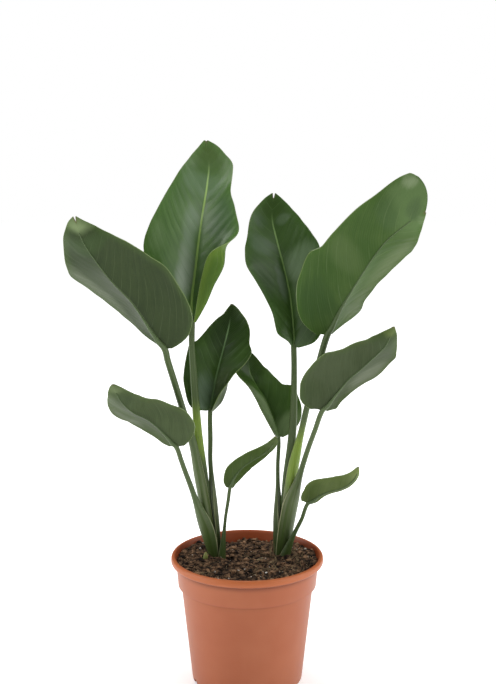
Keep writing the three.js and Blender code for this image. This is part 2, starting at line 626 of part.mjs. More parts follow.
function soil(plants) {
  const inset = WALL + GAP;
  const step = WALL_TOP_HEIGHT + 2 * STEP_INSIDE;
  const points = [new THREE.Vector3(0, 0, inset)];
  const ring = (place) => {
    for (let j = 0; j < POT_SIDES; j++) {
      const angle = (2 * Math.PI * j) / POT_SIDES;
      points.push(place(Math.sin(angle), Math.cos(angle)));
    }
  };
  const side = [
    [BASE_RADIUS - FLOOR_INSET - GAP, inset], [BASE_RADIUS - inset, BASE_ROUNDING + GAP],
    [WALL_TOP_RADIUS - inset, step - GAP], [COLLAR_FOOT_RADIUS - inset, step + GAP],
  ];
  for (const [radius, height] of side) {
    ring((x, y) => new THREE.Vector3(radius * x, radius * y, height));
  }
  const edge = soilRadius(SOIL_AT_WALL);
  ring((x, y) => {
    const height = soilHeight(edge * x, edge * y);
    const radius = soilRadius(height);
    return new THREE.Vector3(radius * x, radius * y, height);
  });
  for (const part of SOIL_RINGS) {
    const radius = part * edge;
    ring((x, y) => new THREE.Vector3(radius * x, radius * y, soilHeight(radius * x, radius * y)));
  }
  points.push(new THREE.Vector3(0, 0, soilHeight(0, 0)));
  const triangles = [];
  const lastRing = points.length - 1 - POT_SIDES;
  for (let j = 0; j < POT_SIDES; j++) {
    const next = (j + 1) % POT_SIDES;
    triangles.push(0, 1 + j, 1 + next);
    for (let start = 1; start < lastRing; start += POT_SIDES) {
      const [a, b] = [start + j, start + next];
      triangles.push(a, a + POT_SIDES, b + POT_SIDES, a, b + POT_SIDES, b);
    }
    triangles.push(lastRing + j, points.length - 1, lastRing + next);
  }
  let ground = solid(geometryOf(points, triangles));
  for (const leaves of plants) {
    const [low, high] = [ROOT_HEIGHT, SOIL_LINE].map((z) => leaves.at(-1).girth(z));
    const apart = low.centre.distanceTo(high.centre) / 2;
    const middle = low.centre.add(high.centre).divideScalar(2);
    const radius = Math.max(low.radius, high.radius) + apart + ROOT_CLEARANCE;
    ground = ground.subtract(post(middle.x, middle.y, radius, ROOT_HEIGHT - GAP, CUTTER_TOP));
  }
  const hole = SHOOT_RADIUS + ROOT_CLEARANCE;
  return ground.subtract(post(...SHOOT_PLACE, hole, SHOOT_FOOT - GAP, CUTTER_TOP));
}

/** Pointed new shoot, a little flattened. */
function shoot() {
  const bends = SHOOT_BENDS.map(([part, drop]) => [part * SHOOT_RADIUS, SHOOT_TOP - drop]);
  const profile = [[0, SHOOT_FOOT], [SHOOT_RADIUS, SHOOT_FOOT], ...bends, [0, SHOOT_TOP]];
  const points = profile.map(([radius, height]) => new THREE.Vector2(radius, height));
  const lathe = new THREE.LatheGeometry(points, SHOOT_SIDES).rotateX(Math.PI / 2);
  return solid(lathe.scale(1, SHOOT_FLATNESS, 1).translate(...SHOOT_PLACE, 0));
}

const plants = [grow(LEFT_PLANT), grow(RIGHT_PLANT)];
const part = new THREE.Group();
part.name = "potted_bird_of_paradise";
part.add(named("pot", pot(), POT_PLASTIC));
part.add(named("soil", soil(plants), POTTING_SOIL));
for (const leaf of plants.flat()) part.add(named(leaf.name, leaf.body(), LEAF));
part.add(named("shoot_tip", shoot(), YOUNG_SHOOT));

export default part;
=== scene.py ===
"""A potted bird of paradise: ten leaves in two plants, potting soil and a nursery pot.

Sizes are in millimetres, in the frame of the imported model: the origin is the centre of the pot's
underside, +X runs to the right, +Y to the back and +Z up.
"""

import logging
import math
import random
from dataclasses import dataclass, replace
from enum import Enum
from typing import Any, Sequence

import bpy
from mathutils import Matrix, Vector, noise


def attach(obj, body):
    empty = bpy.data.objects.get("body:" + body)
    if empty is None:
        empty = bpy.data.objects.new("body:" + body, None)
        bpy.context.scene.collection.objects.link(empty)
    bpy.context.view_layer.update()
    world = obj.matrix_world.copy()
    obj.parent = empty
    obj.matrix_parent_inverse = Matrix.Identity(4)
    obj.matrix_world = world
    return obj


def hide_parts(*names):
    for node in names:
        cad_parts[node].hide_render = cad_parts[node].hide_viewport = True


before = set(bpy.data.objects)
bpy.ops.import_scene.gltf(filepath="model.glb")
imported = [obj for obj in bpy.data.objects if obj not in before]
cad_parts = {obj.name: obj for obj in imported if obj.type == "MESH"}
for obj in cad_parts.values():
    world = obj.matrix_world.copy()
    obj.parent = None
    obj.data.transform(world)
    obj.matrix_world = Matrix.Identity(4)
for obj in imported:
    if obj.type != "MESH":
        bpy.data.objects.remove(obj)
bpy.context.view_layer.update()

LOG = logging.getLogger("plant")
MM = 0.001
Color = tuple[float, float, float]
Point = tuple[float, float, float]
Pair = tuple[float, float]

# Side veins leave the midrib forwards: this far per millimetre out, and more towards the margin.
VEIN_LEAN = 0.95
VEIN_CURVE = 0.012


def smooth(value: float, low: float = 0.0, high: float = 1.0) -> float:
    """Smooth step.

    Args:
        value: where to read it.
        low: where the step starts.
        high: where it ends.

    Returns:
        A number from 0 to 1.
    """
    t = min(max((value - low) / (high - low), 0.0), 1.0)
    return t * t * (3 - 2 * t)


def lerp(start: float, end: float, t: float) -> float:
    """Straight blend from start to end."""
    return start + (end - start) * t


def through(xs: Sequence[float], ys: Sequence[float], x: float) -> float:
    """Cubic through stations that doesn't overshoot them.

    Args:
        xs: rising positions of the stations.
        ys: their values.
        x: where to read the curve.

    Returns:
        The value at x.
    """
    last = len(xs) - 1
    at = min(max(x, xs[0]), xs[last])
    k = next((i for i in range(1, last) if xs[i] >= at), last)

    def rise(j: int) -> float:
        """Slope of the straight line up to station j."""
        return (ys[j] - ys[j - 1]) / (xs[j] - xs[j - 1])

    def slope(j: int) -> float:
        """Slope of the curve at a station.

        Args:
            j: which station.

        Returns:
            The slope, which is level where the values turn back.
        """
        if j in (0, last):
            return rise(max(j, 1))
        before, after = rise(j), rise(j + 1)
        return 0.0 if before * after <= 0 else 2 * before * after / (before + after)

    width = xs[k] - xs[k - 1]
    t = (at - xs[k - 1]) / width
    start = ys[k - 1] * (1 + 2 * t) * (1 - t) ** 2 + slope(k - 1) * width * t * (1 - t) ** 2
    return start + ys[k] * t * t * (3 - 2 * t) + slope(k) * width * t * t * (t - 1)


class Wire:
    """A shader value that takes part in Python arithmetic."""

    def __init__(self, bench: "Bench", socket: bpy.types.NodeSocket) -> None:
        """Keep the socket and the material it belongs to."""
        self.bench = bench
        self.socket = socket

    def _with(self, operation: str, *values: Any) -> "Wire":
        """Add one Math node on the values."""
        return self.bench.node("ShaderNodeMath", {"operation": operation}, dict(enumerate(values)))

    def __add__(self, other: Any) -> "Wire":
        """Sum."""
        return self._with("ADD", self, other)

    __radd__ = __add__

    def __sub__(self, other: Any) -> "Wire":
        """Difference."""
        return self._with("SUBTRACT", self, other)

    def __rsub__(self, other: Any) -> "Wire":
        """Difference from a number."""
        return self._with("SUBTRACT", other, self)

    def __mul__(self, other: Any) -> "Wire":
        """Product."""
        return self._with("MULTIPLY", self, other)

    __rmul__ = __mul__

    def __truediv__(self, other: Any) -> "Wire":
        """Quotient."""
        return self._with("DIVIDE", self, other)

    def __rtruediv__(self, other: Any) -> "Wire":
        """Quotient of a number."""
        return self._with("DIVIDE", other, self)

    def __pow__(self, other: Any) -> "Wire":
        """Power."""
        return self._with("POWER", self, other)

    def __rpow__(self, other: Any) -> "Wire":
        """Power of a number."""
        return self._with("POWER", other, self)

    def abs(self) -> "Wire":
        """Size without sign."""
        return self._with("ABSOLUTE", self)

    def sin(self) -> "Wire":
        """Sine of the value in radians."""
        return self._with("SINE", self)

    def step(self, low: float, high: float) -> "Wire":
        """Smooth step from 0 at low to 1 at high."""
        inputs = {"Value": self, "From Min": low, "From Max": high}
        return self.bench.node("ShaderNodeMapRange", {"interpolation_type": "SMOOTHSTEP"}, inputs)


class Bench:
    """A material, or the world, and the nodes that are put into it."""

    def __init__(self, name: str, world: bpy.types.World | None = None) -> None:
        """Start with an empty node tree.

        Args:
            name: the name of a new material.
            world: the world, where its nodes are meant.
        """
        self.owner = world or bpy.data.materials.new(name)
        self.owner.use_nodes = True
        self.tree = self.owner.node_tree
        self.tree.nodes.clear()

    def node(self, kind: str, settings: dict[str, Any] | None = None,
             inputs: dict[Any, Any] | None = None, output: int | str = 0) -> Wire | None:
        """Add a node, set it up, then fill its sockets.

        Args:
            kind: the node's type.
            settings: its own settings.
            inputs: numbers, colours or wires for its sockets, by name or place.
            output: which of its outputs is wanted.

        Returns:
            The wanted output, or None from a node that has none.
        """
        made = self.tree.nodes.new(kind)
        for key, value in (settings or {}).items():
            setattr(made, key, value)
        for key, value in (inputs or {}).items():
            socket = made.inputs[key]
            if isinstance(value, Wire):
                self.tree.links.new(value.socket, socket)
            elif isinstance(value, tuple) and socket.type == "RGBA":
                socket.default_value = (*value, 1.0)
            else:
                socket.default_value = value
        return Wire(self, made.outputs[output]) if made.outputs else None

    def mix(self, factor: Any, first: Any, second: Any) -> Wire:
        """Blend two colours.

        Args:
            factor: 0 for the first, 1 for the second.
            first: a colour or a wire.
            second: a colour or a wire.

        Returns:
            The blended colour.
        """
        return self.node("ShaderNodeMix", {"data_type": "RGBA"}, {0: factor, 6: first, 7: second}, 2)

    def place(self) -> Wire:
        """Object coordinates, in metres."""
        return self.node("ShaderNodeTexCoord", output="Object")

    def attribute(self, name: str) -> Wire:
        """A number that the mesh carries at each vertex."""
        return self.node("ShaderNodeAttribute", {"attribute_name": name}, output="Fac")

    def noise(self, vector: Wire, scale: float, detail: float = 3.0, roughness: float = 0.55) -> Wire:
        """Cloudy values round 0.5.

        Args:
            vector: where to read them.
            scale: clouds per unit.
            detail: how many finer layers.
            roughness: how strong the finer layers are.

        Returns:
            A value from 0 to 1.
        """
        inputs = {"Vector": vector, "Scale": scale, "Detail": detail, "Roughness": roughness}
        return self.node("ShaderNodeTexNoise", None, inputs)

    def joined(self, x: Any, y: Any, z: Any) -> Wire:
        """A vector from three values."""
        return self.node("ShaderNodeCombineXYZ", None, {0: x, 1: y, 2: z})

    def bump(self, height: Wire, distance: float, strength: float = 1.0) -> Wire:
        """A normal from a height.

        Args:
            height: the height, from 0 to 1.
            distance: what a height of 1 means, in metres.
            strength: how much of it shows.

        Returns:
            The bent normal.
        """
        inputs = {"Height": height, "Distance": distance, "Strength": strength}
        return self.node("ShaderNodeBump", None, inputs)

    def finish(self, inputs: dict[str, Any]) -> bpy.types.Material:
        """Put a Principled surface on the material.

        Args:
            inputs: its sockets.

        Returns:
            The finished material.
        """
        surface = self.node("ShaderNodeBsdfPrincipled", None, inputs)
        self.node("ShaderNodeOutputMaterial", None, {"Surface": surface})
        return self.owner


@dataclass(frozen=True)
class LightPatch:
    """A soft patch of painted light or shade on a blade: a pale tint paints a sheen, a deeper green paints
    shade.

    part and across are its middle, as a share of the blade's length and in millimetres to the
    right of the midrib. long and wide are its half sizes in the same measures.
    """

    part: float
    across: float
    long: float
    wide: float
    strength: float
    tint: Color


@dataclass(frozen=True)
class BladeFace:
    """Finish of one face of a blade: flesh, side veins, midrib, tip and margin, and patches of painted light
    and shade.
    """

    deep: Color
    light: Color
    # tip: part the leaf's own colour and part painted light: darker on upper faces as painted shade, paler
    # on undersides as a painted sheen.
    tip: Color
    rim: Color
    vein: Color
    rib: Color
    roughness: float
    specular: float
    coat: float
    vein_strength: float
    rim_width: float = 9.0
    rim_strength: float = 0.5
    rim_fray: float = 9.0
    tip_from: float = 0.72
    rib_least: float = 0.3
    rib_width: float = 1.6
    rib_strength: float = 0.9
    rib_end: float = 0.9
    vein_gap: float = 14.0
    relief: float = 0.0004
    # patches: soft patches of painted sheen and painted shade over the flesh.
    patches: tuple[LightPatch, ...] = ()

    MARGIN = (0.20, 0.26, 0.09)
    MARGIN_FADES = (0.15, 0.8)
    DRY = (0.10, 0.075, 0.03)
    DRY_FROM = (0.975, 0.998)
    TIP_ENDS = 0.93
    DULL_TIP = (0.8, 0.92)
    RIB_FADE = 0.18
    RIB_EDGE = (0.45, 1.05)
    VEIN_DRIFT = 9.0
    HAIRS_IN_GAP = 5.0
    FRAY = 1.6

    def with_painted_light(self, bench: Bench, color: Wire, uneven: Wire) -> Wire:
        """Lay the patches of painted sheen and painted shade over the flesh.

        Args:
            bench: the face's material.
            color: the flesh.
            uneven: cloudy values round 0.5 that fray the patches.

        Returns:
            The patched flesh.
        """
        part, across = bench.attribute("part"), bench.attribute("across")
        for patch in self.patches:
            along, off = (part - patch.part) / patch.long, (across - patch.across) / patch.wide
            reach = along * along + off * off + (uneven - 0.5) * self.FRAY
            color = bench.mix((1.0 - reach.step(0.0, 1.0)) * patch.strength, color, patch.tint)
        return color

    def material(self, name: str) -> bpy.types.Material:
        """Build the face's material.

        Args:
            name: the material's name.

        Returns:
            The material, which reads the blade's along, across, edge and part attributes.
        """
        bench = Bench(name)
        along, across = bench.attribute("along"), bench.attribute("across")
        edge, part = bench.attribute("edge"), bench.attribute("part")
        place = bench.place()
        out = across.abs()
        drift = (bench.noise(place, 22.0, 2.0) - 0.5) * self.VEIN_DRIFT
        line = along - out * VEIN_LEAN - out * out * VEIN_CURVE + drift
        ridge = (line * (math.pi / self.vein_gap)).sin().abs()
        hairs = (line * (math.pi / (self.vein_gap / self.HAIRS_IN_GAP))).sin().abs()
        uneven = bench.noise(place, 31.0, 2.0).step(0.36, 0.66)
        vein = (1.0 - ridge.step(0.0, 0.2)) * uneven
        hair = (1.0 - hairs.step(0.0, 0.6)) * (1.0 - uneven)
        streaks = bench.noise(bench.joined(line * 0.16, across * 0.035, 0.0), 1.0, 4.0, 0.6)
        clouds = bench.noise(place, 15.0, 4.0)
        patches = (clouds * 0.55 + streaks * 0.45).step(0.36, 0.64)
        color = bench.mix(patches, self.deep, self.light)
        # The tip colour, part the leaf's own and part painted shade on upper faces and painted sheen on
        # undersides.
        color = bench.mix((part + (clouds - 0.5) * 0.12).step(self.tip_from, self.TIP_ENDS), color, self.tip)
        # Painted sheen and painted shade, in soft patches.
        color = self.with_painted_light(bench, color, clouds * 0.5 + streaks * 0.5)
        rim = 1.0 - (edge + (clouds - 0.5) * self.rim_fray).step(0.5, self.rim_width)
        color = bench.mix(rim * self.rim_strength, color, self.rim)
        color = bench.mix(vein * self.vein_strength + hair * (self.vein_strength * 0.4), color, self.vein)
        width = self.rib_least + (1.0 - part) * self.rib_width
        midrib = 1.0 - (out / width).step(*self.RIB_EDGE)
        midrib = midrib * (1.0 - part.step(self.rib_end - self.RIB_FADE, self.rib_end))
        color = bench.mix(midrib * self.rib_strength, color, self.rib)
        margin = 1.0 - edge.step(*self.MARGIN_FADES)
        color = bench.mix(margin * 0.45, color, self.MARGIN)
        dry = part.step(*self.DRY_FROM) * (1.0 - out.step(1.0, 3.0))
        color = bench.mix(dry * 0.6, color, self.DRY)
        speckle = bench.noise(place, 420.0, 2.0)
        height = ridge * (uneven * 0.6 + 0.15) + streaks * 0.6 + hairs * 0.1 + speckle * 0.08
        rough = self.roughness + (streaks - 0.5) * 0.3 + part.step(*self.DULL_TIP) * 0.25
        return bench.finish({
            "Base Color": color, "Roughness": rough, "Normal": bench.bump(height, self.relief, 0.6),
            "Coat Weight": (1.0 - part.step(0.82, 0.92)) * self.coat, "Coat Roughness": 0.3,
            "Specular IOR Level": self.specular,
        })


@dataclass(frozen=True)
class StalkSkin:
    """Finish of a sheath, a stalk and the rib under a blade, with painted shade low in the clump.

    flush is a yellow-green stretch: its height and half length in millimetres, and its strength.
    """

    stalk: Color = (0.058, 0.092, 0.026)
    sheath: Color = (0.068, 0.104, 0.022)
    streak: Color = (0.120, 0.140, 0.065)
    rib: Color = (0.062, 0.098, 0.032)
    flush: Point = (0.0, 1.0, 0.0)
    roughness: float = 0.42

    DARK = (0.040, 0.075, 0.012)
    FLUSHED = (0.17, 0.26, 0.022)
    # Painted shade low in the clump, fading out between two heights in millimetres.
    CLUMP_SHADE = (0.022, 0.044, 0.006)
    CLUMP_SHADE_UP_TO = (150.0, 215.0)
    LIP = (0.40, 0.40, 0.23)
    LIP_FADES = ((0.9, 1.0), (1.02, 1.12))
    SOILED = (0.060, 0.052, 0.018)
    SOILED_UP_TO = (134.0, 146.0)

    def material(self, name: str) -> bpy.types.Material:
        """Build the skin's material.

        Args:
            name: the material's name.

        Returns:
            The material, which reads the around, rise, sheathed and part attributes.
        """
        bench = Bench(name)
        around, rise = bench.attribute("around"), bench.attribute("rise")
        sheathed, part = bench.attribute("sheathed"), bench.attribute("part")
        grain = bench.noise(bench.joined(around * 26.0, rise * 0.012, 0.0), 1.0, 4.0, 0.6)
        broad = bench.noise(bench.joined(around * 6.0, rise * 0.006, 4.0), 1.0, 3.0)
        color = bench.mix(sheathed, self.stalk, self.sheath)
        color = bench.mix(broad.step(0.42, 0.68) * (0.25 + sheathed * 0.5), color, self.streak)
        color = bench.mix(grain.step(0.45, 0.8) * 0.4, color, self.rib)
        dark = bench.noise(bench.joined(around * 17.0, rise * 0.009, 9.0), 1.0, 3.0).step(0.5, 0.66)
        color = bench.mix(dark * (0.35 + sheathed * 0.4), color, self.DARK)
        height, half, strength = self.flush
        flushed = 1.0 - ((rise - height) / half).abs().step(0.3, 1.0)
        color = bench.mix(flushed * strength, color, self.FLUSHED)
        # Painted shade on the lower stalks, deep in the clump.
        color = bench.mix((1.0 - rise.step(*self.CLUMP_SHADE_UP_TO)) * 0.6, color, self.CLUMP_SHADE)
        color = bench.mix(part.step(0.0, 0.05), color, self.rib)
        appears, ends = self.LIP_FADES
        lip = around.abs().step(*appears) * (1.0 - around.abs().step(*ends)) * sheathed
        color = bench.mix(lip * 0.9, color, self.LIP)
        color = bench.mix((1.0 - rise.step(*self.SOILED_UP_TO)) * 0.5, color, self.SOILED)
        rough = self.roughness + (grain - 0.5) * 0.2
        return bench.finish({
            "Base Color": color, "Roughness": rough, "Normal": bench.bump(grain, 0.0006, 0.5),
            "Specular IOR Level": 0.3,
        })


UPPER = BladeFace(
    deep=(0.030, 0.068, 0.011), light=(0.044, 0.092, 0.017), tip=(0.030, 0.066, 0.006),
    rim=(0.036, 0.092, 0.008), vein=(0.085, 0.150, 0.050), rib=(0.19, 0.30, 0.10),
    rib_least=0.75, roughness=0.38, specular=0.45, coat=0.25, vein_strength=0.45,
)
UNDER = BladeFace(
    deep=(0.030, 0.050, 0.013), light=(0.048, 0.073, 0.025), tip=(0.060, 0.095, 0.030),
    rim=(0.050, 0.088, 0.016), vein=(0.085, 0.115, 0.050), rib=(0.045, 0.075, 0.024),
    rib_strength=0.4, roughness=0.55, specular=0.2, coat=0.0, vein_strength=0.35,
)
SKIN = StalkSkin()


@dataclass(frozen=True)
class PotPlastic:
    """Thin moulded plastic in a terracotta colour, with painted shade in its corners and on its inner wall,
    and painted light on its bead.

    The heights are in metres: a corner's shade fades in over the first two and ends over the others.
    """

    name: str = "terracotta_plastic"
    body: Color = (0.330, 0.088, 0.032)
    pale: Color = (0.385, 0.122, 0.052)
    # bead: painted light, a brighter orange on the bead where the light from above falls.
    bead: Color = (0.400, 0.105, 0.026)
    # inside: painted shade on the inner wall, where the faces turn in towards the axis.
    inside: Color = (0.250, 0.050, 0.012)
    corner: Color = (0.150, 0.034, 0.012)
    bead_from: Pair = (0.1368, 0.1405)
    under_bead: tuple[Pair, Pair] = ((0.127, 0.1362), (0.1366, 0.1385))
    under_collar: tuple[Pair, Pair] = ((0.106, 0.1113), (0.1115, 0.1122))

    @staticmethod
    def shade(height: Wire, corner: tuple[Pair, Pair], power: float) -> Wire:
        """Shade that deepens up to a corner and ends above it."""
        deepens, ends = corner
        return height.step(*deepens) ** power * (1.0 - height.step(*ends))

    def material(self) -> bpy.types.Material:
        """Build the plastic.

        Returns:
            The material, which reads the inward attribute and paints shade on the inner wall with it.
        """
        bench = Bench(self.name)
        place = bench.place()
        height = bench.node("ShaderNodeSeparateXYZ", None, {0: place}, "Z")
        clouds = bench.noise(place, 14.0, 3.0)
        grain = bench.noise(place, 900.0, 2.0)
        color = bench.mix(clouds.step(0.35, 0.7) * 0.5, self.body, self.pale)
        # Painted light on the bead, which faces the light from above.
        color = bench.mix(height.step(*self.bead_from) * 0.8, color, self.bead)
        under_bead = self.shade(height, self.under_bead, 2.0)
        under_collar = self.shade(height, self.under_collar, 3.0)
        color = bench.mix(under_bead * 0.75 + under_collar * 0.3, color, self.corner)
        # Painted shade on the faces that turn in towards the axis, the inner wall.
        color = bench.mix(bench.attribute("inward"), color, self.inside)
        return bench.finish({
            "Base Color": color, "Roughness": 0.44 + (clouds - 0.5) * 0.14,
            "Normal": bench.bump(grain, 0.00012, 0.35), "Specular IOR Level": 0.35,
            "Subsurface Weight": 0.06, "Subsurface Radius": (0.004, 0.0015, 0.0008),
        })


@dataclass(frozen=True)
class Grit:
    """Matte finish of soil, crumbs, perlite or fibres, with or without painted shade in its crevices."""

    name: str
    dark: Color
    light: Color
    scale: float
    roughness: float = 0.95
    shaded_crevices: bool = False

    # Painted shade in the crevices.
    CREVICE_SHADE = (0.006, 0.003, 0.002)

    def material(self) -> bpy.types.Material:
        """Build the matte finish.

        Returns:
            The material; with shaded crevices it reads the raised attribute and paints shade where that is
            low.
        """
        bench = Bench(self.name)
        place = bench.place()
        coarse = bench.noise(place, self.scale, 5.0, 0.65)
        fine = bench.noise(place, self.scale * 7.0, 4.0, 0.7)
        color = bench.mix((coarse * 0.8 + fine * 0.2).step(0.42, 0.62), self.dark, self.light)
        # Painted shade where the soil lies low between its lumps.
        if self.shaded_crevices:
            low = 1.0 - (bench.attribute("raised") + (coarse - 0.5) * 0.5).step(0.2, 0.6)
            color = bench.mix(low * 0.9, color, self.CREVICE_SHADE)
        return bench.finish({
            "Base Color": color, "Roughness": self.roughness, "Normal": bench.bump(fine, 0.0012, 0.8),
            "Specular IOR Level": 0.2,
        })


class Side(Enum):
    """The two halves of a blade, as seen on its upper face."""

    LEFT = -1
    RIGHT = 1


def select(*pieces: bpy.types.Object) -> None:
    """Select these pieces alone.

    Args:
        pieces: the objects, of which the first becomes the active one. Without any, all is deselected.
    """
    bpy.ops.object.select_all(action="DESELECT")
    for piece in pieces:
        piece.select_set(True)
    if pieces:
        bpy.context.view_layer.objects.active = pieces[0]


def close_up() -> None:
    """In edit mode, fill the open ends, turn all faces outwards and go back to object mode."""
    bpy.ops.mesh.select_all(action="SELECT")
    bpy.ops.mesh.fill_holes(sides=0)
    bpy.ops.mesh.select_all(action="SELECT")
    bpy.ops.mesh.normals_make_consistent(inside=False)
    bpy.ops.object.mode_set(mode="OBJECT")


def grid_mesh(name: str, across: int, along: int) -> bpy.types.Object:
    """Add a flat grid whose vertices are then placed in code.

    Args:
        name: the object's name.
        across: cells in a row.
        along: rows of cells.

    Returns:
        The grid, with its vertices in row order.
    """
    select()
    bpy.ops.mesh.primitive_grid_add(x_subdivisions=across, y_subdivisions=along, size=2.0)
    sheet = bpy.context.object
    sheet.name = sheet.data.name = name
    return sheet


def place_vertices(piece: bpy.types.Object, points: Sequence[Vector]) -> None:
    """Move each vertex to its point.

    Args:
        piece: the object.
        points: places in millimetres, in the order of the vertices.
    """
    flat = [value * MM for point in points for value in point]
    piece.data.vertices.foreach_set("co", flat)
    piece.data.update()


def carry(piece: bpy.types.Object, name: str, values: Sequence[float]) -> None:
    """Store one number at each vertex.

    Args:
        piece: the object.
        name: the attribute's name.
        values: the numbers, in the order of the vertices.
    """
    layer = piece.data.attributes.new(name, "FLOAT", "POINT")
    layer.data.foreach_set("value", list(values))


def apply(piece: bpy.types.Object, kind: str, **settings: Any) -> None:
    """Add a modifier and apply it.

    Args:
        piece: the object.
        kind: the modifier's type.
        settings: its settings.
    """
    select(piece)
    modifier = piece.modifiers.new(kind.title(), kind)
    for key, value in settings.items():
        setattr(modifier, key, value)
    bpy.ops.object.modifier_apply(modifier=modifier.name)


def join(pieces: Sequence[bpy.types.Object], name: str) -> bpy.types.Object:
    """Join pieces into the first of them.

    Args:
        pieces: the objects.
        name: the joined object's name.

    Returns:
        The joined object.
    """
    select(*pieces)
    if len(pieces) > 1:
        bpy.ops.object.join()
    pieces[0].name = pieces[0].data.name = name
    return pieces[0]


def soften(piece: bpy.types.Object, degrees: float = 50.0) -> None:
    """Shade smooth over every edge that bends less than an angle."""
    select(piece)
    bpy.ops.object.shade_smooth_by_angle(angle=math.radians(degrees))


def hand_over(piece: bpy.types.Object, slot: str, *nodes: str) -> None:
    """Let a finished piece ride on the model and stand for its nodes.

    Args:
        piece: the object.
        slot: not used.
        nodes: the nodes that it replaces.
    """
    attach(piece, "root")
    if nodes:
        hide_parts(*nodes)
    LOG.info("%s: %d faces", piece.name, len(piece.data.polygons))


def lofted(name: str, sections: Sequence[Sequence[Vector]]) -> bpy.types.Object:
    """A closed tube through sections with equal numbers of points.

    Args:
        name: the object's name.
        sections: rings of points in millimetres, from the foot up.

    Returns:
        The tube, with its seam merged, its ends filled and its faces pointing out.
    """
    sides = len(sections[0])
    tube = grid_mesh(name, sides, len(sections) - 1)
    place_vertices(tube, [point for ring in sections for point in (*ring, ring[0])])
    bpy.ops.object.mode_set(mode="EDIT")
    bpy.ops.mesh.select_all(action="SELECT")
    bpy.ops.mesh.remove_doubles(threshold=1e-7)
    close_up()
    return tube


def turned(name: str, profile: Sequence[tuple[float, float]], sides: int) -> bpy.types.Object:
    """A solid of revolution, extruded ring by ring from its foot.

    Args:
        name: the object's name.
        profile: radius and height of each ring; the first and last rings are filled.
        sides: how many sides the rings have.

    Returns:
        The closed solid.
    """
    select()
    (radius, height), *rest = profile
    bpy.ops.mesh.primitive_circle_add(vertices=sides, radius=radius * MM, fill_type="NGON",
                                      location=(0, 0, height * MM))
    piece = bpy.context.object
    piece.name = piece.data.name = name
    bpy.ops.object.transform_apply(location=True, rotation=False, scale=False)
    bpy.ops.object.mode_set(mode="EDIT")
    bpy.ops.mesh.select_all(action="SELECT")
    for new_radius, new_height in rest:
        rise = (new_height - height) * MM
        bpy.ops.mesh.extrude_region_move(TRANSFORM_OT_translate={"value": (0, 0, rise)})
        ratio = new_radius / radius
        bpy.ops.transform.resize(value=(ratio, ratio, 1), center_override=(0, 0, new_height * MM))
        radius, height = new_radius, new_height
    close_up()
    return piece


class Spine:
    """A smooth line through points, measured along its length from its first point."""

    STEP = 1.0
    PARTS = 40

    def __init__(self, points: Sequence[Point], foot: int) -> None:
        """Measure the line.

        Args:
            points: the points that it passes.
            foot: which of them is the foot of the blade.
        """
        given = [Vector(point) for point in points]
        ends = [given[0] * 2 - given[1], *given, given[-1] * 2 - given[-2]]
        dense: list[Vector] = []
        marks: list[int] = []
        for p0, p1, p2, p3 in zip(ends, ends[1:], ends[2:], ends[3:]):
            d0, d1, d2 = ((b - a).length ** 0.5 for a, b in ((p0, p1), (p1, p2), (p2, p3)))
            m1 = ((p1 - p0) / d0 - (p2 - p0) / (d0 + d1) + (p2 - p1) / d1) * d1
            m2 = ((p2 - p1) / d1 - (p3 - p1) / (d1 + d2) + (p3 - p2) / d2) * d1
            marks.append(len(dense))
            for k in range(self.PARTS):
                t = k / self.PARTS
                dense.append(p1 * (1 + 2 * t) * (1 - t) ** 2 + m1 * t * (1 - t) ** 2
                             + p2 * t * t * (3 - 2 * t) + m2 * t * t * (t - 1))
        dense.append(given[-1])
        lengths = [0.0]
        for a, b in zip(dense, dense[1:]):
            lengths.append(lengths[-1] + (b - a).length)
        self.length = lengths[-1]
        self.tip_way = (given[-1] - given[-2]).normalized()
        self.foot = lengths[marks[foot]]
        self.table: list[Vector] = []
        k = 0
        for i in range(int(self.length / self.STEP) + 2):
            distance = min(i * self.STEP, self.length)
            while k < len(dense) - 2 and lengths[k + 1] < distance:
                k += 1
            t = (distance - lengths[k]) / (lengths[k + 1] - lengths[k])
            self.table.append(dense[k].lerp(dense[k + 1], min(t, 1.0)))

    def at(self, distance: float) -> Vector:
        """Point on the line.

        Args:
            distance: how far along it.

        Returns:
            The point: straight down before the first given point, straight on past the last.
        """
        if distance < 0:
            return self.table[0] + Vector((0, 0, distance))
        if distance > self.length:
            return self.table[-1] + self.tip_way * (distance - self.length)
        place = distance / self.STEP
        k = min(int(place), len(self.table) - 2)
        return self.table[k].lerp(self.table[k + 1], place - k)


@dataclass
class Girth:
    """A circle round a leaf and the leaves inside it."""

    x: float
    y: float
    radius: float


